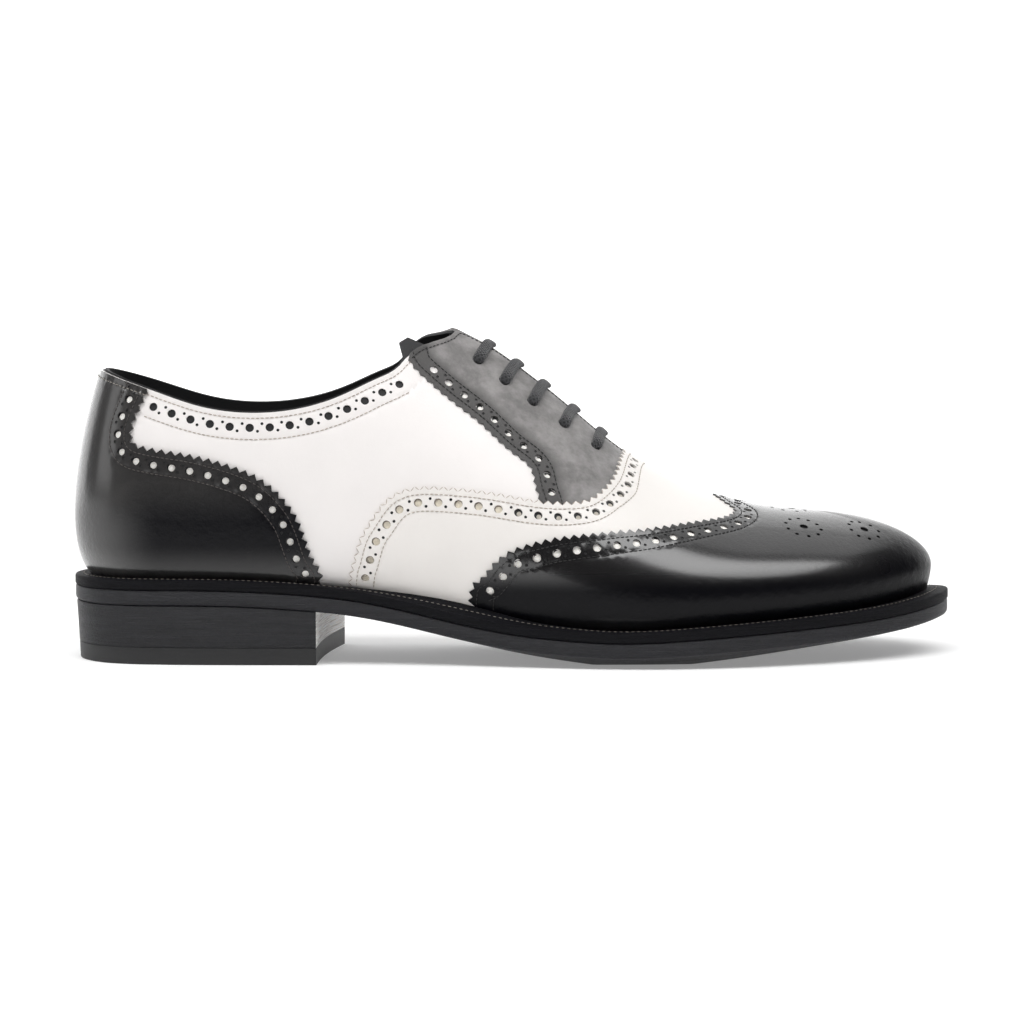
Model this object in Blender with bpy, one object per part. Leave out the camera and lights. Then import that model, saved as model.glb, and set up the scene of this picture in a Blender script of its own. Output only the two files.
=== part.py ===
"""A full-brogue wingtip Oxford in black and white, the right shoe. +X points to the toe, +Y to the inner side, +Z up."""

import math

import bmesh
import bpy
import numpy as np

# Sizes are in millimetres and become metres when a mesh is made.
MM = 0.001
CENTRE = (0.0, -0.149)

WALL = 2.0
FIT = 0.3
LAYER = 1.2
VAMP_LAYER = 0.9
WELT = 3.6
OUTSOLE = 5.1
TOP_PIECE = 6.0
INSOLE = 2.4
WELT_INSIDE = 5.0
THROAT_HALF = 1.1
THROAT_END = 42.0
LACE_RADIUS = 1.7
HOLE_RADIUS = 2.25
LACE_SIDES = 6
LACE_TURN = 1.9
TAIL_AWAY = 4.4
TONGUE = 1.6
TONGUE_HALF = 19.0
TONGUE_TOP, TONGUE_FOOT = -21.0, 50.0

# The last is a set of ribs. Each climbs from the sole's edge to the ridge along the top of the foot.
BACK_RIBS, MIDDLE_RIBS, FRONT_RIBS = 9, 11, 13
RIBS = BACK_RIBS + MIDDLE_RIBS + FRONT_RIBS
FINE = 6
FINE_ROWS = 72
WIDEST = 0.25
CREASE = 0.55
BACK_TURN, FRONT_TURN = -66.0, 36.0
BACK_END, FRONT_END = -118.0, 106.0


def table(columns, *rows):
    return dict(zip(columns.split(), np.array(rows, float).T))


HEEL_BACK, TOE_TIP = (-154.0, -11.0), (154.0, 8.5)
EDGE = table(
    "station lateral medial",
    (-151, -23.0, 1.0),
    (-142, -33.0, 11.0),
    (-122, -38.6, 18.6),
    (-100, -39.8, 22.4),
    (-80, -40.0, 24.4),
    (-60, -40.4, 24.8),
    (-40, -41.4, 23.0),
    (-20, -43.4, 21.6),
    (0, -46.6, 24.6),
    (20, -50.0, 34.0),
    (40, -52.0, 45.0),
    (60, -51.4, 51.2),
    (80, -47.4, 51.4),
    (100, -40.6, 47.6),
    (120, -31.4, 41.8),
    (137, -19.6, 33.4),
    (149, -6.6, 23.0),
)
# margin: welt outside the upper. feather: where the upper meets the welt. drop: how far the welt slopes down.
# rise and swell: where each side is widest. side and top: how full the rib is there and at the ridge.
SHAPE = table(
    "station margin feather drop rise_lateral rise_medial swell_lateral swell_medial side top crown",
    (-154, 5.7, 29.6, 0.0, 21.5, 21.5, 5.7, 5.7, 0.40, 0.33, 0.0),
    (-130, 5.0, 29.6, 0.0, 21.0, 21.0, 5.0, 5.0, 0.40, 0.38, 0.0),
    (-100, 4.5, 29.5, 0.0, 20.0, 21.0, 4.4, 5.0, 0.40, 0.42, 0.0),
    (-75, 4.3, 28.4, 0.2, 20.0, 23.0, 4.2, 5.8, 0.40, 0.40, 0.0),
    (-60, 4.2, 27.3, 0.5, 20.0, 25.0, 4.0, 6.8, 0.40, 0.36, 0.2),
    (-42, 4.2, 25.5, 1.8, 20.0, 27.0, 4.0, 8.4, 0.41, 0.31, 0.6),
    (-21, 4.2, 22.3, 3.4, 20.0, 27.0, 4.0, 9.6, 0.42, 0.28, 1.2),
    (-9, 4.6, 19.5, 3.0, 20.0, 26.0, 4.0, 9.6, 0.43, 0.27, 1.8),
    (5, 5.4, 16.0, 1.5, 19.0, 23.5, 4.0, 8.0, 0.44, 0.28, 2.8),
    (19, 6.2, 13.9, 0.5, 18.0, 20.5, 4.0, 6.0, 0.45, 0.30, 4.2),
    (31, 6.6, 12.9, 0.1, 17.0, 18.0, 4.0, 5.0, 0.46, 0.32, 5.4),
    (45, 6.8, 12.9, 0.0, 16.0, 16.0, 3.8, 4.4, 0.47, 0.35, 6.4),
    (66, 7.0, 14.1, 0.0, 14.5, 14.5, 3.6, 4.0, 0.48, 0.40, 6.0),
    (87, 7.2, 15.4, 0.0, 13.0, 13.0, 3.2, 3.6, 0.50, 0.46, 4.6),
    (108, 7.4, 16.8, 0.0, 12.0, 12.0, 2.8, 3.0, 0.50, 0.50, 3.0),
    (124, 7.6, 18.0, 0.0, 11.0, 11.0, 2.4, 2.4, 0.50, 0.50, 2.0),
    (140, 7.8, 19.8, 0.0, 10.3, 10.3, 2.0, 2.0, 0.50, 0.50, 1.0),
    (154, 7.8, 22.3, 0.0, 9.6, 9.6, 1.8, 1.8, 0.50, 0.50, 0.4),
)
RIDGE = table(
    "station across height",
    (-118, -8.5, 146.0),
    (-100, -8.0, 146.0),
    (-80, -6.5, 143.0),
    (-60, -4.5, 136.0),
    (-40, -2.5, 126.0),
    (-20, -0.8, 113.6),
    (-8, 0.0, 107.0),
    (5, 0.6, 97.8),
    (15, 1.0, 90.0),
    (26, 1.5, 80.6),
    (36, 2.0, 72.6),
    (46, 2.5, 66.0),
    (57, 3.0, 60.4),
    (68, 3.5, 56.2),
    (80, 4.0, 53.2),
    (92, 4.6, 51.2),
    (106, 5.3, 49.8),
)
OPENING = table(
    "station height",
    (-150, 103.5),
    (-143, 101.3),
    (-125.7, 95.8),
    (-108.5, 90.2),
    (-92, 88.0),
    (-77.4, 88.9),
    (-60.3, 93.7),
    (-46.4, 100.1),
    (-39.7, 104.2),
    (-34.6, 110.5),
    (-26.3, 114.0),
    (-17.1, 118.0),
)
# The panels' edges as they are drawn on the side of the shoe.
WING = table(
    "station height",
    (-15.5, 0),
    (-15, 22.3),
    (-11.7, 30.1),
    (-5.6, 37.3),
    (2.7, 41.7),
    (14.7, 44.2),
    (31, 46.3),
    (48, 47.3),
    (66, 49.1),
    (74.7, 50),
    (77.9, 51.7),
    (74.5, 54),
    (70.8, 57.5),
    (70.5, 90),
)
VAMP = table(
    "station height",
    (-57, 0),
    (-56.6, 28.9),
    (-52.6, 43.9),
    (-45.9, 55.2),
    (-40.2, 59.3),
    (-32, 60.9),
    (-22.2, 61.2),
    (-4.1, 59.3),
    (8.9, 56.9),
    (17.2, 56.3),
    (25.4, 56.8),
    (31, 60),
    (35.1, 63),
    (37.6, 68),
    (39.3, 72),
    (41, 110),
)
FACING = table(
    "station height",
    (-37.2, 130),
    (-37, 108.5),
    (-36.1, 104.6),
    (-27.4, 96),
    (-18.1, 88.7),
    (-4.1, 77.6),
    (5.8, 68.9),
    (7.9, 64.5),
    (8.2, 58),
    (9, 46),
)
COUNTER = table(
    "station height",
    (-124, 112),
    (-126.7, 95.8),
    (-129.2, 91.2),
    (-131.4, 85.8),
    (-132.5, 80.5),
    (-131.9, 76.9),
    (-128.8, 75.7),
    (-113.4, 72.9),
    (-97.9, 68.7),
    (-84.8, 62.8),
    (-76.3, 53.2),
    (-71.2, 40.3),
    (-67.1, 29.3),
    (-66, 0),
)
BREAST_LATERAL, BREAST_MEDIAL = -68.5, -61.0
# Each eyelet's rib and its distance from the ridge. Its bar of lace leans forward as it climbs.
EYELETS = table(
    "station girth lean",
    (-12.4, 13.4, 4.0),
    (-3.2, 16.4, 4.8),
    (6.6, 17.4, 4.4),
    (17.5, 17.4, 4.0),
    (28.8, 15.7, 2.4),
)


def spline(places, values):
    """A natural cubic through the values, as a function of place."""
    x, y = np.asarray(places, float), np.asarray(values, float)
    step = np.diff(x)
    matrix, right = np.eye(len(x)), np.zeros_like(y)
    for i in range(1, len(x) - 1):
        matrix[i, i - 1 : i + 2] = step[i - 1], 2 * (step[i - 1] + step[i]), step[i]
        right[i] = 6 * ((y[i + 1] - y[i]) / step[i] - (y[i] - y[i - 1]) / step[i - 1])
    bend = np.linalg.solve(matrix, right)

    def at(place):
        place = np.clip(np.atleast_1d(np.asarray(place, float)), x[0], x[-1])
        i = np.clip(np.searchsorted(x, place) - 1, 0, len(x) - 2)
        h, a, b = step[i], (x[i + 1] - place) / step[i], (place - x[i]) / step[i]
        if y.ndim > 1:
            h, a, b = h[:, None], a[:, None], b[:, None]
        bow = (a**3 - a) * bend[i] + (b**3 - b) * bend[i + 1]
        return a * y[i] + b * y[i + 1] + bow * h * h / 6

    return at


def shape(name, station):
    return spline(SHAPE["station"], SHAPE[name])(station)


def ridge(station):
    station = np.asarray(station, float)
    across = spline(RIDGE["station"], RIDGE["across"])(station)
    return np.stack([station, across, spline(RIDGE["station"], RIDGE["height"])(station)], 1)


def unit(vectors):
    return vectors / np.maximum(np.linalg.norm(vectors, axis=-1, keepdims=True), 1e-9)


def lengths(points):
    """The distance run along a line of points, up to each."""
    return np.concatenate([[0], np.cumsum(np.linalg.norm(np.diff(points, axis=0), axis=1))])


def edge_curve():
    """The sole's edge seen from above, and the runs at which it passes the heel's back, the toe and the back again."""
    lateral = np.column_stack([EDGE["station"], EDGE["lateral"]])
    medial = np.column_stack([EDGE["station"], EDGE["medial"]])[::-1]
    points = np.vstack([[HEEL_BACK], lateral, [TOE_TIP], medial])
    lap = 4
    loop = np.vstack([points[-lap:], points, points[: lap + 1]])
    run = lengths(loop)
    return spline(run, loop), run[lap], run[lap + len(lateral) + 1], run[lap + len(points)]


def rib_feet(side):
    """Where the ribs of a side stand on the sole's edge, from the heel's back to the toe."""
    curve, back, toe, back_again = edge_curve()
    dense = np.linspace(back if side == "lateral" else back_again, toe, 2001)
    x = curve(dense)[:, 0]
    far_back = dense[len(x) - 1 - np.argmax((x < BACK_TURN)[::-1])]
    far_front = dense[np.argmax(x > FRONT_TURN)]
    middle = np.linspace(BACK_TURN, FRONT_TURN, MIDDLE_RIBS * FINE + 1)
    back_fan = np.linspace(dense[0], far_back, BACK_RIBS * FINE + 1)[:-1]
    front_fan = np.linspace(far_front, dense[-1], FRONT_RIBS * FINE + 1)[1:]
    return curve(np.concatenate([back_fan, np.interp(middle, x, dense), front_fan]))


def rib_tops():
    """The ridge station that each rib climbs to."""
    back = 1 - np.linspace(0, 1, BACK_RIBS * FINE + 1)[:-1]
    front = np.linspace(0, 1, FRONT_RIBS * FINE + 1)[1:]
    middle = np.linspace(BACK_TURN, FRONT_TURN, MIDDLE_RIBS * FINE + 1)
    eased_back = back + np.sin(np.pi * back) / np.pi
    eased_front = front + np.sin(np.pi * front) / np.pi
    return np.concatenate(
        [
            BACK_TURN + (BACK_END - BACK_TURN) * eased_back,
            middle,
            FRONT_TURN + (FRONT_END - FRONT_TURN) * eased_front,
        ]
    )


def moved_out(points, amount, side):
    """Points of the edge moved square to it, outwards."""
    along = unit(np.gradient(points, axis=0))
    outward = np.stack([along[:, 1], -along[:, 0]], 1) * (1 if side == "lateral" else -1)
    return points + outward * np.asarray(amount)[:, None]


def bow(a, b, c, d, share):
    """Points of cubic curves from a to d, one curve a row."""
    t = share[None, :, None]
    a, b, c, d = (p[:, None, :] for p in (a, b, c, d))
    return (1 - t) ** 3 * a + 3 * t * (1 - t) ** 2 * b + 3 * t * t * (1 - t) * c + t**3 * d


def last_side(side):
    """The last's outer face on one side: points for each fine rib and fine row, from the sole up to the ridge."""
    feet = rib_feet(side)
    x = feet[:, 0]
    margin, swell, rise = shape("margin", x), shape("swell_" + side, x), shape("rise_" + side, x)
    low = np.column_stack([moved_out(feet, -margin, side), shape("feather", x)])
    wide = np.column_stack([moved_out(feet, swell - margin, side), low[:, 2] + rise])
    tops = rib_tops()
    high = ridge(tops)
    slope = ridge(tops + 0.5)[:, 2] - ridge(tops - 0.5)[:, 2]
    fullness, roundness = shape("side", x), shape("top", x)
    climb = high[:, 2] - wide[:, 2]
    up = np.array([0.0, 0.0, 1.0])
    reach = (wide - high)[:, :2] * roundness[:, None]
    shoulder = np.column_stack([high[:, :2] + reach, high[:, 2] + slope * reach[:, 0]])
    spread = np.linalg.norm((wide - low)[:, :2], axis=1)
    half = np.linalg.norm((wide - high)[:, :2], axis=1)
    tuck = fullness * climb * np.sqrt((1 - CREASE) * spread / ((1 - roundness) * half))
    tuck = np.minimum(tuck, 0.7 * rise)
    start = low + np.column_stack([(wide - low)[:, :2] * CREASE, 0.1 * rise])
    share = np.linspace(0, 1, FINE_ROWS + 1)
    under = bow(low, start, wide - up * tuck[:, None], wide, np.clip(share / WIDEST, 0, 1))
    over = bow(wide, wide + up * (fullness * climb)[:, None], shoulder, high, np.clip((share - WIDEST) / (1 - WIDEST), 0, 1))
    return np.where((share <= WIDEST)[None, :, None], under, over)


def outward_normals(points, side):
    face = unit(np.cross(np.gradient(points, axis=0), np.gradient(points, axis=1)))
    return face if side == "lateral" else -face


def make_last():
    """Both sides' points and normals, agreeing where they meet at the heel's back, the toe and the ridge."""
    points = {side: last_side(side) for side in ("lateral", "medial")}
    for rib in (0, -1):
        shared = (points["lateral"][rib] + points["medial"][rib]) / 2
        points["lateral"][rib] = points["medial"][rib] = shared
    normals = {side: outward_normals(points[side], side) for side in points}
    for rib in (0, -1):
        shared = unit(normals["lateral"][rib] + normals["medial"][rib])
        normals["lateral"][rib] = normals["medial"][rib] = shared
    shared = unit(normals["lateral"][:, -1] + normals["medial"][:, -1])
    normals["lateral"][:, -1] = normals["medial"][:, -1] = shared
    return points, normals


POINTS, NORMALS = make_last()
TOPS = rib_tops()
FINE_SHARES = np.linspace(0, 1, FINE_ROWS + 1)


def opening_share(side, rib):
    """How far up a rib the upper reaches: to the collar, to the throat's edge, or to the ridge in front."""
    line = POINTS[side][rib]
    if TOPS[rib] > THROAT_END:
        return 1.0
    height = spline(OPENING["station"], OPENING["height"])(line[:, 0])
    gap = np.abs(line[:, 1] - ridge(TOPS[rib : rib + 1])[0, 1])
    past = (line[:, 2] > height) | (gap < THROAT_HALF)
    past &= FINE_SHARES > WIDEST
    if not past.any():
        return 1.0
    k = int(np.argmax(past))
    by_height = (line[k, 2] - height[k]) / max(1e-6, (line[k, 2] - height[k]) - (line[k - 1, 2] - height[k - 1]))
    by_gap = (THROAT_HALF - gap[k]) / max(1e-6, gap[k - 1] - gap[k])
    back = by_height if line[k, 2] > height[k] else by_gap
    return float(FINE_SHARES[k] - np.clip(back, 0, 1) * (FINE_SHARES[k] - FINE_SHARES[k - 1]))


ROW_SHARES = np.array([0.0, 0.07, 0.16, 0.26, 0.39, 0.53, 0.67, 0.80, 0.91, 1.0])


def column(side, rib, depth):
    """One rib of a form that lies a depth inside the last's outer face."""
    share = ROW_SHARES * opening_share(side, rib)
    line = np.stack([np.interp(share, FINE_SHARES, POINTS[side][rib, :, i]) for i in range(3)], 1)
    out = unit(np.stack([np.interp(share, FINE_SHARES, NORMALS[side][rib, :, i]) for i in range(3)], 1))
    flat = unit(np.append(POINTS[side][rib, 4, :2] - POINTS[side][rib, 0, :2], 0.0))
    out[0] = flat
    return line - out * depth


def material(name, colour, roughness):
    made = bpy.data.materials.new(name)
    made.use_nodes = True
    shader = made.node_tree.nodes["Principled BSDF"]
    shader.inputs["Base Color"].default_value = (*colour, 1.0)
    shader.inputs["Roughness"].default_value = roughness
    return made


def mesh_object(name, points, faces, look, smooth=True):
    """A closed body from points in millimetres."""
    shift = np.array([CENTRE[0], CENTRE[1], 0.0])
    mesh = bpy.data.meshes.new(name)
    mesh.from_pydata(((np.asarray(points) - shift) * MM).tolist(), [], faces)
    shell = bmesh.new()
    shell.from_mesh(mesh)
    bmesh.ops.remove_doubles(shell, verts=shell.verts, dist=1e-6)
    bmesh.ops.recalc_face_normals(shell, faces=shell.faces)
    if shell.calc_volume(signed=True) < 0:
        bmesh.ops.reverse_faces(shell, faces=shell.faces)
    shell.to_mesh(mesh)
    shell.free()
    mesh.polygons.foreach_set("use_smooth", [smooth] * len(mesh.polygons))
    made = bpy.data.objects.new(name, mesh)
    if look:
        mesh.materials.append(look)
        PARTS.objects.link(made)
    else:
        made.hide_render = True
        made.display_type = "WIRE"
        CUTTERS.objects.link(made)
    return made


def ring_columns(first, last, sides):
    """The ribs of a form in order along it, and whether they close into a ring."""
    lateral = [("lateral", rib) for rib in range(first, last + 1)]
    if len(sides) == 1:
        return [(sides[0], rib) for _, rib in lateral], False
    medial = [("medial", rib) for rib in range(last, first - 1, -1)]
    if first == 0 and last == RIBS:
        return lateral + medial[1:-1], True
    if last == RIBS:
        return lateral + medial[1:], False
    return [("medial", rib) for rib in range(last, 0, -1)] + lateral, False


def diagonal_up(ribs, i):
    """Whether a panel of the grid is split from its foot at the heel's end, which both sides of the shoe share."""
    side, rib = ribs[i]
    return ribs[(i + 1) % len(ribs)][1] > rib


def skin(name, outer_depth, inner_depth, look, first=0, last=RIBS, sides=("lateral", "medial")):
    """A curved wall that follows the last between two depths."""
    ribs, closes = ring_columns(first, last, sides)
    outer = [column(side, rib * FINE, outer_depth) for side, rib in ribs]
    inner = [column(side, rib * FINE, inner_depth) for side, rib in ribs]
    count, rows = len(ribs), len(ROW_SHARES)
    points = np.array(outer + inner).reshape(-1, 3)
    joined = [len(sides) == 2 and TOPS[rib * FINE] > THROAT_END for _, rib in ribs]

    def at(i, row, inside):
        return ((i % count) + inside * count) * rows + row

    faces = []
    for i in range(count if closes else count - 1):
        for row in range(rows - 1):
            for inside in (0, 1):
                a, b = at(i, row, inside), at(i + 1, row, inside)
                c, d = at(i + 1, row + 1, inside), at(i, row + 1, inside)
                # Every layer is split along the same diagonal, so that two layers stay apart.
                faces += [(a, b, c), (a, c, d)] if diagonal_up(ribs, i) else [(a, b, d), (b, c, d)]
        faces.append((at(i, 0, 0), at(i, 0, 1), at(i + 1, 0, 1), at(i + 1, 0, 0)))
        if not (joined[i] and joined[(i + 1) % count]):
            top = rows - 1
            faces.append((at(i, top, 0), at(i + 1, top, 0), at(i + 1, top, 1), at(i, top, 1)))
    if not closes:
        for i in (0, count - 1):
            for row in range(rows - 1):
                faces.append((at(i, row, 0), at(i, row + 1, 0), at(i, row + 1, 1), at(i, row, 1)))
    return mesh_object(name, points, faces, look)


def prism(name, outline, low=-120.0, high=120.0):
    """A cutter that runs across the shoe, with a side-view outline."""
    count = len(outline)
    points = [(x, y, z) for y in (low, high) for x, z in outline]
    faces = [tuple(range(count)), tuple(range(2 * count - 1, count - 1, -1))]
    faces += [(i, i + count, (i + 1) % count + count, (i + 1) % count) for i in range(count)]
    return mesh_object(name, points, faces, None, smooth=False)


def drawn(edge, steps=4):
    """A panel's edge as a smooth line."""
    points = np.column_stack([edge["station"], edge["height"]])
    run = lengths(points)
    return spline(run, points)(np.linspace(0, run[-1], steps * len(run) + 1))


def widened(line, amount):
    """The same line moved square to itself, to the left of its way."""
    along = unit(np.gradient(line, axis=0))
    return line + np.stack([-along[:, 1], along[:, 0]], 1) * amount


def in_front(line):
    """The outline of all that lies in front of an edge."""
    return [*map(tuple, line), (240.0, 150.0), (240.0, -40.0), (line[0][0], -40.0)]


def behind(line):
    return [*map(tuple, line), (line[-1][0], -40.0), (-240.0, -40.0), (-240.0, 150.0), (line[0][0], 150.0)]


def cut(target, cutter, operation="DIFFERENCE"):
    step = target.modifiers.new("cut", "BOOLEAN")
    step.object = cutter
    step.operation = operation
    step.solver = "EXACT"


def edge_ring(inset):
    """Points round the sole's edge seen from above, and the same points moved in."""
    rings = []
    for side in ("lateral", "medial"):
        feet = rib_feet(side)
        moved = moved_out(feet, -inset(feet[:, 0]), side)
        rings.append((feet[::FINE], moved[::FINE]))
    for i in (0, -1):
        shared = (rings[0][1][i] + rings[1][1][i]) / 2
        rings[0][1][i] = rings[1][1][i] = shared
    feet = np.vstack([rings[0][0], rings[1][0][-2:0:-1]])
    moved = np.vstack([rings[0][1], rings[1][1][-2:0:-1]])
    return feet, moved


def ring_solid(name, rings, look, close_middle):
    """A body from rings of points, one above the next. It is capped by its middle line, or closes on itself."""
    count = len(rings[0])
    points = np.vstack(rings)
    faces = []
    for level in range(len(rings) if not close_middle else len(rings) - 1):
        above = (level + 1) % len(rings)
        for i in range(count):
            j = (i + 1) % count
            faces.append((level * count + i, level * count + j, above * count + j, above * count + i))
    if close_middle:
        for level in (0, len(rings) - 1):
            half = count // 2
            strip = []
            for i in range(half):
                a, b = level * count + i, level * count + i + 1
                c, d = level * count + (count - i - 1) % count, level * count + (count - i) % count
                strip.append(tuple(dict.fromkeys((a, b, c, d))))
            faces += [face if level else face[::-1] for face in strip if len(face) > 2]
    return mesh_object(name, points, faces, look)


def lifted(flat, height):
    return np.column_stack([flat, height])


def welt_bottom(station):
    return shape("feather", station) - shape("drop", station) - FIT - WELT


def outsole_bottom(station):
    return welt_bottom(station) - FIT - OUTSOLE


def make_welt(look):
    feet, outer = edge_ring(lambda x: 0 * x)
    _, inner = edge_ring(lambda x: shape("margin", x) + WELT_INSIDE)
    top = shape("feather", feet[:, 0]) - FIT
    slope = shape("drop", feet[:, 0])
    _, shelf = edge_ring(lambda x: shape("margin", x) - 1.0)
    rings = [
        lifted(outer, top - slope),
        lifted(shelf, top),
        lifted(inner, top),
        lifted(inner, top - slope - WELT),
        lifted(outer, top - slope - WELT),
    ]
    return ring_solid("welt", rings, look, False)


def make_insole(look):
    feet, edge = edge_ring(lambda x: shape("margin", x) + WELT_INSIDE + FIT)
    bottom = welt_bottom(feet[:, 0])
    top = shape("feather", feet[:, 0]) + INSOLE - WELT / 2
    return ring_solid("insole", [lifted(edge, bottom), lifted(edge, top)], look, True)


def middle_of(ring):
    """Each point's place on the line midway between the two sides."""
    count = len(ring)
    mate = np.array([ring[(count - i) % count] for i in range(count)])
    return (ring + mate) / 2


def make_outsole(look):
    feet, edge = edge_ring(lambda x: 0 * x + 0.3)
    x = feet[:, 0]
    middle = middle_of(edge)
    rings = [lifted(edge, welt_bottom(x) - FIT)]
    for share in (0.0, 0.12, 0.3, 0.55, 0.8):
        place = edge + (middle - edge) * share
        fall = shape("crown", place[:, 0]) * math.sin(min(1.0, share / 0.55) * math.pi / 2)
        rings.append(lifted(place, np.maximum(0.0, outsole_bottom(place[:, 0]) - fall)))
    return ring_solid("outsole", rings, look, True)


def heel_outline(inset, steps=30):
    """The heel seen from above, from the breast's inner corner round the back to its outer one."""
    sides = []
    for side, breast in (("lateral", BREAST_LATERAL), ("medial", BREAST_MEDIAL)):
        feet = rib_feet(side)
        line = moved_out(feet, np.full(len(feet), -inset), side)
        line = line[: int(np.argmax(line[:, 0] > breast)) + 1]
        line[-1, 0] = breast
        run = lengths(line)
        even = np.linspace(0, run[-1], steps // 2 + 1)
        sides.append(np.stack([np.interp(even, run, line[:, i]) for i in range(2)], 1))
    start = (sides[0][0] + sides[1][0]) / 2
    sides[0][0] = sides[1][0] = start
    return np.vstack([sides[1][::-1], sides[0][1:]])


def heel_block(name, insets, heights, look):
    outlines = [heel_outline(inset) for inset in insets]
    count = len(outlines[0])
    points = np.vstack([lifted(o, h(o[:, 0])) for o, h in zip(outlines, heights)])
    faces = [(i, (i + 1) % count, (i + 1) % count + count, i + count) for i in range(count)]
    half = count // 2
    for level in (0, count):
        for i in range(half):
            quad = (level + i, level + i + 1, level + count - 2 - i, level + count - 1 - i)
            quad = tuple(dict.fromkeys(quad))
            if len(quad) > 2:
                faces.append(quad if level else quad[::-1])
    return mesh_object(name, points, faces, look)


def tube(name, path, radius, look):
    """A round cord with closed ends along a line of points."""
    path = np.asarray(path)
    along = unit(np.gradient(path, axis=0))
    side = unit(np.cross(along[0], [0.3, 0.2, 1.0]))
    rings = []
    for centre, way in zip(path, along):
        side = unit(side - way * np.dot(side, way))
        other = np.cross(way, side)
        turn = np.arange(LACE_SIDES) * 2 * np.pi / LACE_SIDES
        rings.append(centre + radius * (np.cos(turn)[:, None] * side + np.sin(turn)[:, None] * other))
    points = np.vstack(rings)
    faces = []
    for level in range(len(path) - 1):
        for i in range(LACE_SIDES):
            j = (i + 1) % LACE_SIDES
            a, b = level * LACE_SIDES, (level + 1) * LACE_SIDES
            faces.append((a + i, a + j, b + j, b + i))
    faces.append(tuple(range(LACE_SIDES))[::-1])
    faces.append(tuple(range(len(points) - LACE_SIDES, len(points))))
    return mesh_object(name, points, faces, look)


def place(side, station, girth, depth):
    """The point at a girth from the ridge, below a ridge station, a depth inside the outer face."""
    rib = float(np.interp(station, TOPS, np.arange(len(TOPS))))
    near = int(rib)
    part = rib - near
    line = POINTS[side][near] * (1 - part) + POINTS[side][min(near + 1, len(TOPS) - 1)] * part
    out = NORMALS[side][near] * (1 - part) + NORMALS[side][min(near + 1, len(TOPS) - 1)] * part
    run = lengths(line[::-1])
    at = np.array([np.interp(girth, run, line[::-1, i]) for i in range(3)])
    way = unit(np.array([np.interp(girth, run, out[::-1, i]) for i in range(3)]))
    return at - way * depth


def crossing(station, girth, depth):
    """A point over the throat or under it. A girth below zero is on the medial side."""
    return place("lateral" if girth >= 0 else "medial", station, abs(girth), depth)


def eyelet_punches(side):
    """Five round punches square to the leather, as one cutter."""
    sides, points, faces = 8, [], []
    for station, girth in zip(EYELETS["station"], EYELETS["girth"]):
        top, bottom = place(side, station, girth, -4.0), place(side, station, girth, 9.0)
        axis = unit(bottom - top)
        across = unit(np.cross(axis, [0.0, 1.0, 0.1]))
        other = np.cross(axis, across)
        turn = np.arange(sides) * 2 * np.pi / sides
        round_it = HOLE_RADIUS * (np.cos(turn)[:, None] * across + np.sin(turn)[:, None] * other)
        first = len(points)
        points += [*(top + round_it), *(bottom + round_it)]
        faces.append(tuple(range(first, first + sides))[::-1])
        faces.append(tuple(range(first + sides, first + 2 * sides)))
        faces += [
            (first + i, first + (i + 1) % sides, first + (i + 1) % sides + sides, first + i + sides)
            for i in range(sides)
        ]
    return mesh_object("eyelet_punch_" + side, points, faces, None, smooth=False)


def lace_path():
    """Straight bars over the throat and runs along the insides of the facings, as one line from end to end."""
    over, under = -LACE_RADIUS - FIT, LAYER + FIT + WALL + FIT + LACE_RADIUS
    bend = LACE_TURN * (1 - math.sqrt(0.5))
    rows = list(zip(EYELETS["station"], EYELETS["girth"], EYELETS["lean"]))[::-1]
    station, girth, _ = rows[0]
    away = girth + TAIL_AWAY
    path = [crossing(s, away, under) for s in (rows[-1][0], -2.0, 7.0, 16.0, station - 6.0)]
    path.append(crossing(station - 3.6, girth + TAIL_AWAY / 2, under))
    came = "lateral"
    for number, (station, girth, lean) in enumerate(rows):
        way = 1 if came == "lateral" else -1
        # Up through the eyelet, over the throat and down the one across from it.
        path.append(crossing(station - LACE_TURN, way * girth, under))
        path.append(crossing(station - bend, way * girth, under - bend))
        path.append(crossing(station, way * girth, under - LACE_TURN))
        inset = (0.0, bend, LACE_TURN)
        depth = (over + LACE_TURN, over + bend, over)
        bar = [(girth - i, d) for i, d in zip(inset, depth)]
        bar += [((girth - LACE_TURN) * share, over) for share in (0.62, 0.3, 0.0, -0.3, -0.62)]
        bar += [(-girth + i, d) for i, d in zip(inset[::-1], depth[::-1])]
        path += [crossing(station + lean * (1 - abs(g) / girth), way * g, d) for g, d in bar]
        path.append(crossing(station, -way * girth, under - LACE_TURN))
        if number == len(rows) - 1:
            path.append(crossing(station, -way * girth, under))
            break
        path.append(crossing(station - bend, -way * girth, under - bend))
        path.append(crossing(station - LACE_TURN, -way * girth, under))
        came = "medial" if came == "lateral" else "lateral"
    return path


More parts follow.
